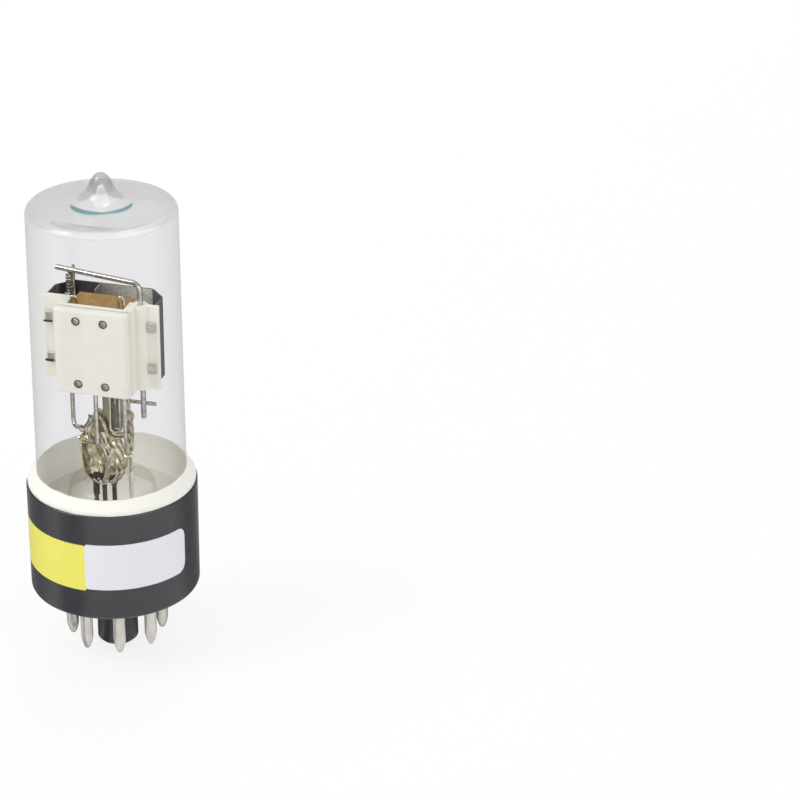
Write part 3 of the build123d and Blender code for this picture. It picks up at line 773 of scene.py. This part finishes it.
def crownSection():
    # the shoulder, the crown and the sealed tip as one closed wall
    b = bulb
    turns = 12
    outer = []
    for step in range(turns + 1):
        angle = math.pi / 2 * step / turns
        outer.append((b["topRadius"] - b["corner"] * (1 - math.cos(angle)),
                      b["join"] + b["corner"] * math.sin(angle)))
    shoulder = outer[-1]
    for step in range(1, 7):
        t = step / 6
        outer.append((along(shoulder[0], b["crownRadius"], t), along(shoulder[1], b["crown"], t ** 1.5)))
    neck = [(b["crownRadius"], b["crown"])] + b["neck"] + [(0.0, b["tip"])]
    tip = smoothPath([(radius, 0, z) for radius, z in neck], 6)
    outer.extend((max(p.x, 0.0), p.z) for p in tip[1:])
    inner = list(b["hollow"])
    for step in range(turns):
        # the wall thins to nothing where the shoulder meets the tube
        angle = math.pi / 2 * (1 - step / turns)
        turn = b["corner"] - b["wall"] * math.sin(angle)
        inner.append((b["topRadius"] - b["corner"] + turn * math.cos(angle),
                      b["join"] + turn * math.sin(angle)))
    return outer + inner + [outer[0]]


def makeBulb():
    b = bulb

    def lean(v):
        # the tip was sealed by hand and leans a little
        if v.z > b["leanFrom"] and math.hypot(v.x, v.y) < b["leanWithin"]:
            lift = (v.z - b["leanFrom"]) / b["leanOver"]
            return v + Vector((b["lean"][0] * lift, b["lean"][1] * lift * lift, 0.0))
        return v

    wall = lathe(wallSection(), 192)
    crown = lathe(crownSection(), 192, lean)
    buildPiece("glassBulb", *wall, "glass", "glass", standsFor=("glass_bulb",))
    buildPiece("bulbCrown", *crown, "crownGlass", "glass", standsFor=("glass_bulb",))


makeBulb()

glint = {
    "from": -146.0, "to": 6.0, "inner": 4.9, "outer": 6.6, "level": 92.15, "drop": 0.35,
    "least": 0.35, "shift": 0.06, "steps": 48,
}


def makeGlint():
    # a crescent hugging the front of the flare, just inside the crown: a teal sheet that stands in for the
    # coloured reflection there, a painted reflection
    g = glint
    vertices, faces = [], []
    middle = (g["inner"] + g["outer"]) / 2
    for i in range(g["steps"] + 1):
        t = i / g["steps"]
        angle = math.radians(along(g["from"], g["to"], t))
        belly = g["least"] + (1 - g["least"]) * abs(math.cos(math.pi * (t - g["shift"])))
        fat = math.sin(math.pi * t) ** 0.6 * belly
        half = (g["outer"] - g["inner"]) / 2 * fat + 0.01
        for radius, level in ((middle - half, g["level"]), (middle + half, g["level"] - g["drop"] * fat)):
            vertices.append(Vector((radius * math.cos(angle), radius * math.sin(angle), level)))
    for i in range(g["steps"]):
        faces.append((2 * i, 2 * i + 1, 2 * i + 3, 2 * i + 2))
    buildPiece("paintedTipReflection", vertices, faces, "teal", "glass")


makeGlint()
print("bulb ready")


# pressed glass foot that carries the leads

stem = {
    "section": [(0.0, 35.75, 0), (5.0, 35.6, 2.0), (8.1, 35.3, 1.4), (8.35, 31.4, 1.4), (14.2, 30.7, 0)],
    "dropFoot": 35.7,
    # x, y, radius and height of each drop
    "drops": [(-4.04, -3.98, 1.0, 0.55), (2.8, 3.96, 0.75, 0.5), (4.2, -0.8, 0.8, 1.3),
              (-2.1, -3.1, 0.75, 0.5), (-0.2, -3.6, 0.75, 0.5), (1.7, -3.4, 0.75, 0.5)],
}


def makeStem():
    foot = lathe(softCorners(stem["section"], steps=8), 160)
    buildPiece("stemFoot", *foot, "stemGlass", "glass", standsFor=("stem_glass",))


def makeStemDrops():
    # glass pulled up round the leads, and two pinch marks
    parts = []
    steps = 8
    for x, y, radius, height in stem["drops"]:
        profile = [(0.0, stem["dropFoot"] + height)]
        for step in range(1, steps + 1):
            t = step / steps
            profile.append((radius * t ** 0.8, stem["dropFoot"] + height * (1 - t ** 2)))
        parts.append(lathe(profile, 32, centre=(x, y)))
    buildPiece("stemDrops", *joined(*parts), "stemGlass", "glass")


makeStem()
makeStemDrops()
print("stem ready")


# crumpled sheet, bent from given rows of points

def throughRows(rows, fineness):
    # a fine grid of points through coarse rows
    wide = [smoothPath(row, fineness) for row in rows]
    columns = [smoothPath([row[i] for row in wide], fineness) for i in range(len(wide[0]))]
    return [[columns[i][j] for i in range(len(columns))] for j in range(len(columns[0]))]


def crumpledSheet(rows, thickness, crumple, creases, seed):
    grid = throughRows(rows, 7)
    high, wide = len(grid), len(grid[0])
    normals = []
    for j in range(high):
        line = []
        for i in range(wide):
            du = grid[j][min(i + 1, wide - 1)] - grid[j][max(i - 1, 0)]
            dv = grid[min(j + 1, high - 1)][i] - grid[max(j - 1, 0)][i]
            line.append(du.cross(dv).normalized())
        normals.append(line)
    vertices, faces = [], []
    for side in (0.5, -0.5):
        for j in range(high):
            for i in range(wide):
                p = grid[j][i]
                dent = noise.noise(p * 0.55 + Vector((seed, 0, 0))) * crumple
                crease = abs(noise.noise(Vector((p.x * 0.9 + p.z * 0.45, p.y * 0.5, seed)))) * creases
                vertices.append(p + normals[j][i] * (dent - crease + side * thickness))
    size = high * wide
    for j in range(high - 1):
        for i in range(wide - 1):
            a = j * wide + i
            faces.append((a, a + 1, a + wide + 1, a + wide))
            faces.append((size + a, size + a + wide, size + a + wide + 1, size + a + 1))
    for j in range(high - 1):
        for i in (0, wide - 1):
            a = j * wide + i
            faces.append((a, a + wide, size + a + wide, size + a))
    for i in range(wide - 1):
        for j in (0, high - 1):
            a = j * wide + i
            faces.append((a, a + 1, size + a + 1, size + a))
    return vertices, faces


# two troughs, and the leaves behind the wave and between the troughs

sheets = {
    "leftTrough": {
        "node": "trough_left", "finish": "ribbon",
        "thickness": 0.22, "crumple": 0.22, "creases": 0.25, "seed": 4.0,
        "rows": [
            [(-4.25, -4.9, 45.6), (-4.6, -3.6, 45.0), (-3.9, -2.4, 44.2),
             (-2.2, -1.9, 43.7), (-0.9, -2.8, 44.3), (-0.3, -4.6, 45.2)],
            [(-4.15, -4.9, 43.3), (-4.5, -3.6, 42.9), (-3.8, -2.3, 42.3),
             (-1.9, -1.8, 42.0), (-0.2, -2.8, 42.6), (0.6, -4.6, 43.4)],
            [(-3.95, -4.9, 41.4), (-4.3, -3.6, 41.0), (-3.6, -2.2, 40.5),
             (-1.8, -1.7, 40.2), (0.0, -2.8, 40.8), (0.85, -4.6, 41.7)],
            [(-3.65, -4.9, 39.3), (-3.9, -3.7, 39.0), (-3.3, -2.4, 38.5),
             (-1.7, -1.9, 38.3), (-0.1, -2.9, 38.8), (0.7, -4.6, 39.8)],
            [(-3.15, -4.9, 37.8), (-3.3, -4.0, 37.4), (-2.8, -2.9, 37.2),
             (-1.6, -2.5, 37.1), (-0.3, -3.2, 37.3), (0.4, -4.6, 38.1)],
            [(-2.35, -4.6, 36.7), (-2.5, -4.1, 36.5), (-2.2, -3.5, 36.4),
             (-1.5, -3.3, 36.4), (-0.7, -3.6, 36.4), (-0.2, -4.5, 36.7)],
        ],
    },
    "rightTrough": {
        "node": "trough_right", "finish": "ribbon",
        "thickness": 0.22, "crumple": 0.45, "creases": 0.7, "seed": 9.0,
        "rows": [
            [(2.2, -4.6, 43.9), (2.0, -3.4, 44.2), (2.4, -2.3, 45.0),
             (3.3, -2.1, 45.5), (4.4, -2.9, 46.0), (4.6, -3.7, 46.2)],
            [(1.6, -4.8, 42.3), (1.7, -3.2, 42.2), (2.3, -2.1, 42.6),
             (3.5, -1.9, 43.2), (4.7, -2.8, 43.9), (5.0, -3.7, 44.4)],
            [(1.25, -4.8, 40.7), (1.4, -3.3, 40.3), (2.0, -2.1, 40.3),
             (3.2, -1.8, 40.8), (4.5, -2.7, 41.9), (4.85, -3.8, 42.5)],
            [(1.0, -4.8, 39.0), (1.15, -3.4, 38.5), (1.7, -2.3, 38.4),
             (2.8, -2.1, 38.9), (4.1, -2.8, 40.0), (4.5, -3.9, 40.6)],
            [(0.75, -4.7, 37.4), (0.95, -3.7, 37.0), (1.4, -2.9, 36.9),
             (2.3, -2.8, 37.2), (3.4, -3.3, 38.0), (3.9, -4.0, 38.5)],
            [(0.65, -4.6, 36.9), (0.85, -4.1, 36.5), (1.2, -3.8, 36.4),
             (1.8, -3.7, 36.4), (2.4, -3.9, 36.5), (2.8, -4.2, 36.6)],
        ],
    },
    "leftLeaf": {
        "finish": "ribbon", "thickness": 0.2, "crumple": 0.35, "creases": 0.5, "seed": 2.0,
        "rows": [
            [(-3.1, -2.2, 49.4), (-2.6, -2.9, 49.9), (-2.1, -3.2, 50.0), (-1.5, -3.1, 49.9)],
            [(-3.6, -2.2, 48.0), (-2.9, -2.9, 48.2), (-2.2, -3.1, 48.1), (-1.5, -3.0, 48.0)],
            [(-4.2, -2.4, 46.5), (-3.3, -3.0, 46.6), (-2.4, -3.1, 46.4), (-1.4, -3.0, 46.2)],
            [(-4.4, -2.6, 44.9), (-3.4, -3.0, 44.8), (-2.4, -3.0, 44.6), (-1.4, -2.9, 44.4)],
        ],
    },
    "innerLeaf": {
        "finish": "beige", "thickness": 0.2, "crumple": 0.25, "creases": 0.3, "seed": 14.0,
        "rows": [
            [(-1.9, -2.5, 50.3), (-0.8, -2.7, 50.5), (0.3, -2.6, 50.2), (1.4, -2.5, 49.6)],
            [(-1.9, -2.5, 48.4), (-0.8, -2.9, 48.4), (0.3, -2.8, 48.2), (1.5, -2.5, 47.8)],
            [(-1.8, -2.5, 46.4), (-0.8, -2.8, 46.4), (0.3, -2.8, 46.2), (1.5, -2.5, 46.0)],
        ],
    },
    "middleLeaf": {
        "finish": "ribbon", "thickness": 0.2, "crumple": 0.6, "creases": 0.9, "seed": 6.0,
        "rows": [
            [(-1.6, -2.6, 46.6), (-0.4, -3.1, 46.7), (0.8, -3.2, 46.5),
             (2.2, -3.1, 46.3), (3.6, -3.0, 46.5), (5.0, -2.9, 47.0)],
            [(-1.7, -2.7, 45.2), (-0.3, -3.4, 45.2), (1.0, -3.7, 44.6),
             (2.4, -3.4, 44.4), (3.8, -3.2, 44.7), (5.2, -3.0, 45.2)],
            [(-1.2, -2.7, 43.8), (0.0, -3.5, 43.6), (1.1, -3.9, 43.0),
             (2.4, -3.6, 42.6), (3.7, -3.3, 42.7), (4.9, -3.1, 43.3)],
            [(-0.8, -2.8, 42.0), (0.2, -3.5, 41.8), (1.2, -3.9, 41.2),
             (2.2, -3.6, 40.8), (3.4, -3.3, 40.9), (4.5, -3.1, 41.4)],
            [(-0.5, -2.9, 40.0), (0.3, -3.4, 39.8), (1.1, -3.7, 39.3),
             (2.0, -3.5, 39.0), (3.0, -3.3, 39.2), (4.1, -3.2, 39.8)],
        ],
    },
    "rightLeaf": {
        "finish": "beige", "thickness": 0.2, "crumple": 0.3, "creases": 0.4, "seed": 11.0,
        "rows": [
            [(3.9, -2.5, 51.2), (4.6, -2.9, 51.5), (5.4, -2.6, 51.0)],
            [(3.9, -2.5, 49.3), (4.7, -3.0, 49.4), (5.6, -2.6, 49.3)],
            [(4.1, -2.4, 47.2), (4.9, -2.9, 47.2), (5.7, -2.5, 47.2)],
            [(4.2, -2.4, 45.0), (5.0, -2.8, 45.0), (5.6, -2.5, 45.0)],
            [(4.4, -2.5, 43.3), (5.0, -2.8, 43.2), (5.4, -2.6, 43.2)],
        ],
    },
}

for name, s in sheets.items():
    sheet = crumpledSheet(s["rows"], s["thickness"], s["crumple"], s["creases"], s["seed"])
    standsFor = (s["node"],) if "node" in s else ()
    sharpAt(buildPiece(name, *sheet, s["finish"], "nickel", standsFor=standsFor), 60)

# narrow ribbons: the wave across the front, the folded lips, the fold ribbon darkened as painted shade behind
# the wave, and the left foot

ribbons = {
    "waveRibbon": {
        "node": "wave_strip", "finish": "ribbon", "width": 2.3, "thickness": 0.22, "side": (0.15, 1.0, 0.45),
        "path": [(-4.6, -3.5, 45.7), (-3.9, -3.6, 44.95), (-3.0, -3.6, 45.4), (-2.3, -3.6, 47.6),
                 (-1.95, -3.6, 49.9), (-1.3, -3.5, 50.9), (-0.5, -3.5, 50.7), (0.25, -3.5, 49.8),
                 (0.8, -3.5, 48.1), (1.3, -3.5, 46.9), (2.1, -3.5, 46.45), (3.2, -3.5, 46.45),
                 (4.1, -3.55, 46.9), (4.7, -3.6, 47.7)],
    },
    "edgeFold": {
        "finish": "nickel", "width": 0.85, "thickness": 0.16, "side": (1.0, 0.35, 0.15),
        "path": [(2.35, -4.7, 44.2), (1.75, -4.95, 42.6), (1.35, -5.05, 40.9), (1.0, -5.0, 39.2),
                 (0.75, -4.9, 37.6), (0.6, -4.75, 36.9)],
    },
    "lowerFold": {
        "finish": "nickel", "width": 0.8, "thickness": 0.16, "side": (0.8, -0.3, -0.6),
        "path": [(3.3, -4.1, 38.9), (2.6, -4.35, 37.9), (2.0, -4.5, 37.1), (1.4, -4.55, 36.7)],
    },
    "lipFold": {
        "finish": "nickel", "width": 0.7, "thickness": 0.16, "side": (0.5, -0.6, 0.7),
        "path": [(-4.35, -4.9, 45.6), (-3.8, -4.3, 45.0), (-2.9, -4.2, 44.7), (-1.9, -4.4, 44.7)],
    },
    "glintTab": {
        "finish": "nickel", "width": 0.6, "thickness": 0.16, "side": (0.9, -0.3, 0.4),
        "path": [(-0.15, -4.9, 45.9), (0.3, -4.95, 45.0), (0.9, -4.9, 44.1)],
    },
    "frontLip": {
        "finish": "nickel", "width": 0.3, "thickness": 0.16, "side": (0.0, 0.3, 1.0),
        "path": [(-2.35, -4.6, 36.75), (-1.7, -4.95, 37.2), (-0.9, -5.0, 36.7), (-0.1, -4.9, 36.5),
                 (0.8, -4.8, 36.6)],
    },
    # the fold ribbon is real; its dark finish is painted shade behind the wave ribbon
    "shadedFoldRibbon": {
        "node": "fold_ribbon", "finish": "shield", "width": 2.2, "thickness": 0.15, "side": (1.0, 0.0, 0.1),
        "narrows": 0.62,
        "path": [(0.8, -2.62, 46.7), (0.9, -2.9, 45.6), (0.7, -2.4, 44.2), (0.3, -2.7, 42.4),
                 (-0.1, -3.0, 40.2), (-0.2, -3.0, 38.0), (-0.2, -2.95, 36.6)],
    },
    "leftFoot": {
        "finish": "darkLead", "width": 1.25, "thickness": 0.35, "side": (1.0, 0.1, 0.0),
        "path": [(-2.0, -3.2, 36.3), (-2.0, -3.2, 35.4), (-2.05, -3.15, 34.2), (-2.05, -3.1, 33.2)],
    },
}


def makeRibbon(name, r):
    def scaleAt(t):
        # full at the top, and narrower from a third of the way down
        return 1.0 - r.get("narrows", 0.0) * min(max((t - 0.3) / 0.3, 0.0), 1.0)

    section = flatSection(r["width"], r["thickness"])
    sheet = sweepSection(smoothPath(r["path"], 10), section, r["side"], scaleAt)
    standsFor = (r["node"],) if "node" in r else ()
    sharpAt(buildPiece(name, *sheet, r["finish"], "nickel", standsFor=standsFor), 50)


for name, r in ribbons.items():
    makeRibbon(name, r)
print("ribbons ready")


# the hollow hairpin under the ceramic, with its back wall darkened inside as painted shade, and the fine wire
# down it

hairpin = {
    "top": 56.73, "low": 47.4, "left": 1.75, "right": 3.62, "rear": -4.3, "depth": 1.5, "thickness": 0.42,
    "backIn": 0.6, "backThickness": 0.12, "wireRadius": 0.17,
    "wire": [(2.75, -4.05, 56.73), (2.72, -4.0, 54.5), (2.72, -3.85, 52.3)],
}


def makeHairpin():
    h = hairpin

    def loop(depth, top, low, bend):
        return bentPath([(h["left"], depth, top), (h["left"] - 0.1, depth, low),
                         (h["right"] - 0.05, depth, low), (h["right"], depth, top)], bend, 8)

    middle = h["rear"] + h["depth"] / 2
    path = loop(middle, h["top"], h["low"], 0.9)
    walls = sweepSection(path, flatSection(h["depth"], h["thickness"]), (0.0, 1.0, 0.0))
    sharpAt(buildPiece("hairpinWalls", *walls, "ribbon", "nickel", standsFor=("hairpin_strip",)), 50)
    # the back wall inside the channel is real; its dark finish is painted shade in the hollow
    back = loop(middle + h["backIn"], h["top"] - 0.4, h["low"] + 0.3, 0.8)
    vertices = [p + Vector((0, lift, 0)) for lift in (0.0, h["backThickness"]) for p in back]
    count = len(back)
    faces = [tuple(range(count)), tuple(count + i for i in range(count))]
    faces += [(i, (i + 1) % count, count + (i + 1) % count, count + i) for i in range(count)]
    buildPiece("hairpinShadedBack", vertices, faces, "shield", "dark_metal", smooth=False)
    wire = sweepSection([Vector(p) for p in h["wire"]], roundSection(h["wireRadius"], 12), (1, 0, 0))
    buildPiece("hairpinWire", *wire, "nickel", "nickel")


makeHairpin()


# weld lumps where leads meet the ribbons, and the pale sleeve under the bead

lumps = [
    {"name": "weldRightA", "at": (4.55, -3.75, 42.3), "size": (0.75, 0.5, 0.5), "finish": "nickel"},
    {"name": "weldRightB", "at": (5.25, -3.55, 42.5), "size": (0.45, 0.42, 0.42), "finish": "nickel"},
    {"name": "weldRightC", "at": (4.2, -3.9, 41.5), "size": (0.4, 0.35, 0.55), "finish": "ribbon"},
    {"name": "weldCentre", "at": (-0.85, -4.95, 45.2), "size": (0.62, 0.36, 0.7), "finish": "shield"},
    {"name": "weldLeft", "at": (-4.6, -2.6, 46.2), "size": (0.6, 0.5, 0.4), "finish": "nickel"},
]


def makeLump(lump):
    centre = Vector(lump["at"])
    size = Vector(lump["size"])

    def shape(v):
        push = 1.0 + noise.noise(v * 1.6 + centre) * 0.35
        return centre + v * size * push

    buildPiece(lump["name"], *lathe(halfCircle(14), 24, shape), lump["finish"], "nickel")


for lump in lumps:
    makeLump(lump)

leadBead = {"centre": (4.75, -2.22), "middle": 50.2, "radius": 0.95, "height": 1.25}


def makeLeadBead():
    b = leadBead
    profile = [(b["radius"] * x, b["middle"] + b["height"] * z) for x, z in halfCircle(18)]
    drop = lathe(profile, 40, centre=b["centre"])
    buildPiece("leadBead", *drop, "bead", "ceramic", standsFor=("lead_bead",))


makeLeadBead()

beadSleeve = {
    "centre": (4.75, -2.22), "bottom": 45.3, "top": 49.35, "radius": 0.62, "taper": 0.92, "bore": 0.32,
}


def makeBeadSleeve():
    b = beadSleeve
    profile = softCorners([
        (b["bore"], b["bottom"], 0), (b["radius"], b["bottom"], 0.15),
        (b["radius"] * b["taper"], b["top"], 0.15),
        (b["bore"], b["top"], 0), (b["bore"], b["bottom"], 0),
    ], steps=4)
    buildPiece("beadSleeve", *lathe(profile, 40, centre=b["centre"]), "bead", "ceramic")


makeBeadSleeve()
print("lower leads ready")


# coiled filament with its two tails

coil = {
    "x": -7.25, "y": 0.75, "low": 73.0, "high": 76.75, "radius": 0.50, "turns": 6.0, "wire": 0.19,
    "foot": (-7.7, 0.9, 72.1), "bend": (-6.85, 0.75, 72.65), "end": (-7.35, 0.55, 77.2),
}


def makeCoil():
    c = coil
    steps = int(c["turns"] * 28)
    path = [Vector(c["foot"]), Vector(c["bend"])]
    for i in range(steps + 1):
        t = i / steps
        angle = 2 * math.pi * c["turns"] * t
        x = c["x"] + c["radius"] * math.cos(angle)
        y = c["y"] + c["radius"] * math.sin(angle)
        path.append(Vector((x, y, along(c["low"], c["high"], t))))
    path.append(Vector(c["end"]))
    wire = sweepSection(path, roundSection(c["wire"], 10), (1, 0, 0))
    buildPiece("filamentCoil", *wire, "coilWire", "dark_metal", standsFor=("cathode_coil",))


makeCoil()


# chunky staples on the cover plate

staples = [
    {"name": "stapleleft", "node": "cover_staple_left", "left": (-5.2, -4.1), "right": (-4.1, -4.0),
     "foot": 72.3, "top": 74.45, "wire": 0.29},
    {"name": "stapleright", "node": "cover_staple_right", "left": (4.05, -4.0), "right": (5.2, -4.0),
     "foot": 72.3, "top": 75.3, "wire": 0.29},
]


def makeStaple(s):
    (ax, ay), (bx, by) = s["left"], s["right"]
    path = bentPath([(ax, ay, s["foot"]), (ax + 0.12, ay, s["top"]), (bx - 0.12, by, s["top"]),
                     (bx, by, s["foot"])], 0.4, 8)
    wire = sweepSection(path, roundSection(s["wire"], 16), (0, 1, 0))
    buildPiece(s["name"], *wire, "nickel", "nickel", standsFor=(s["node"],))


for staple in staples:
    makeStaple(staple)
print("coil and staples ready")


# discoloured lining of the shield and the shield's folded tabs

lining = {
    "low": 70.4, "high": 73.6, "thickness": 0.07, "draw": 0.994,
    "strips": {
        "sootLeft": ("soot", [(-10.38, 2.15), (-7.6, 4.86), (-2.6, 4.86)]),
        "fadedRight": ("fading", [(-2.6, 4.86), (7.6, 4.86)]),
        "bluedFacet": ("blueSheet", [(7.65, 4.86), (10.38, 2.15)]),
    },
}


def makeLining(name, finish, path):
    vertices, faces = [], []
    for x, y in path:
        for z in (lining["low"], lining["high"]):
            vertices.append(Vector((x, y, z)))
            vertices.append(Vector((x * lining["draw"], y - lining["thickness"], z)))
    for i in range(len(path) - 1):
        a, b = i * 4, i * 4 + 4
        faces += [(a, b, b + 2, a + 2), (a + 1, a + 3, b + 3, b + 1)]
        faces += [(a + 2, b + 2, b + 3, a + 3), (a, a + 1, b + 1, b)]
    last = len(vertices) - 4
    faces += [(0, 2, 3, 1), (last, last + 1, last + 3, last + 2)]
    buildPiece(name, vertices, faces, finish, "dark_metal", smooth=False)


for name, (finish, path) in lining["strips"].items():
    makeLining(name, finish, path)

tabs = [
    {"name": "tabRightTop", "low": (9.2, -3.24, 68.42), "high": (10.72, -2.7, 70.38), "finish": "foldedTab"},
    {"name": "tabRightLow", "low": (9.2, -3.24, 60.02), "high": (10.72, -2.7, 61.98), "finish": "foldedTab"},
    {"name": "tabLeftTop", "low": (-10.72, -3.24, 68.42), "high": (-9.2, -2.7, 70.38), "finish": "foldedTab"},
    {"name": "tabLeftLow", "low": (-10.72, -3.24, 60.02), "high": (-9.2, -2.7, 61.98), "finish": "foldedTab"},
    {"name": "tabEdgeTop", "low": (-11.1, -3.5, 68.30), "high": (-9.3, -3.1, 68.62), "finish": "soot"},
    {"name": "tabEdgeLow", "low": (-11.1, -3.5, 60.25), "high": (-9.4, -3.1, 60.65), "finish": "soot"},
]

for tab in tabs:
    block = roundedBlock(tab["low"], tab["high"], 0.12)
    buildPiece(tab["name"], *block, tab["finish"], "dark_metal", smooth=False)
print("shield lining and tabs ready")


# rivet heads in their recesses, each ringed darker as painted shade of the recess, and the bright upper lip
# of the backing sheet, whose white is a painted highlight

rivets = {
    "across": 2.65, "levels": (58.85, 71.55), "face": -8.6, "head": 0.58, "proud": 0.16, "ring": 0.82,
    "ringProud": 0.035, "sunk": -0.1,
}


def makeRivets():
    r = rivets
    headSection = [(0.0, r["proud"]), (r["head"] * 0.6, 0.12), (r["head"], 0.03), (r["head"], r["sunk"])]
    # the ring lies almost flat on the face; its darker finish is painted shade of the recess round each head
    ringSection = [(r["head"] * 0.9, r["ringProud"]), (r["ring"] * 0.93, r["ringProud"]), (r["ring"], 0.01),
                   (r["ring"], r["sunk"])]
    for name, section, finish, slotName in (("rivetHeads", headSection, "rivet", "nickel"),
                                            ("rivetShadeRings", ringSection, "recess", "dark_metal")):
        vertices, faces = lathe(section, 28)
        parts = []
        for x in (-r["across"], r["across"]):
            for z in r["levels"]:
                parts.append(([Vector((x + v.x, r["face"] - v.z, z + v.y)) for v in vertices], faces))
        buildPiece(name, *joined(*parts), finish, slotName)


makeRivets()

# the upper edge of the backing sheet is real; this white block on it is a painted highlight along that edge
lip = {"low": (-6.8, -6.95, 73.72), "high": (6.8, -6.35, 74.12), "round": 0.12}
buildPiece("backingEdgeHighlight", *roundedBlock(lip["low"], lip["high"], lip["round"]), "cement", "ceramic")

# softer ceramic edges on the carried-over parts

softEdges = {
    "width": {"rear_insulator": 0.18, "spacer_insulator": 0.22}, "seam": 0.002, "segments": 3, "angle": 40,
}

for name, width in softEdges["width"].items():
    weld = nodes[name].modifiers.new("weldSeams", "WELD")
    weld.merge_threshold = softEdges["seam"] * mm
    soft = nodes[name].modifiers.new("softEdges", "BEVEL")
    soft.width = width * mm
    soft.segments = softEdges["segments"]
    soft.limit_method = "ANGLE"
    soft.angle_limit = math.radians(softEdges["angle"])
    soft.harden_normals = False
print("rivets and ceramic edges ready")


# two plain stickers round the shell, the white one lapping over the yellow one

stickers = {
    "yellowSticker": {"from": -62.0, "to": 1.5, "low": 19.5, "high": 29.2, "lift": 0.02, "sunk": -0.02,
                      "nearRound": 0.6, "farRound": 0.6},
    "whiteSticker": {"from": 0.5, "to": 75.0, "low": 19.9, "high": 29.5, "lift": 0.045, "sunk": -0.02,
                     "nearRound": 0.6, "farRound": 2.0},
}


def makeSticker(name):
    # a thin bent sheet; its angles are in degrees from -Y towards +X
    s = stickers[name]
    radius = shell["radius"]
    steps = 72
    vertices, faces = [], []
    span = math.radians(s["to"] - s["from"]) * radius
    for i in range(steps + 1):
        fromStart = span * i / steps
        cut = 0.0
        for gap, limit in ((span - fromStart, s["farRound"]), (fromStart, s["nearRound"])):
            if gap < limit:
                cut = max(cut, limit - math.sqrt(max(limit ** 2 - (limit - gap) ** 2, 0.0)))
        angle = math.radians(s["from"]) + fromStart / radius
        for r in (radius + s["lift"], radius + s["sunk"]):
            for z in (s["low"] + cut, (s["low"] + s["high"]) / 2, s["high"] - cut):
                vertices.append((r * math.sin(angle), -r * math.cos(angle), z))
    for i in range(steps):
        a = i * 6
        b = a + 6
        for k in range(2):
            faces.append((a + k, b + k, b + k + 1, a + k + 1))
            faces.append((a + 3 + k, a + 4 + k, b + 4 + k, b + 3 + k))
        faces.append((a, a + 3, b + 3, b))
        faces.append((a + 2, b + 2, b + 5, a + 5))
    for a in (0, steps * 6):
        faces.append((a, a + 1, a + 4, a + 3))
        faces.append((a + 1, a + 2, a + 5, a + 4))
    sharpAt(buildPiece(name, vertices, faces, name, None), 40)


for name in stickers:
    makeSticker(name)
print("stickers ready")
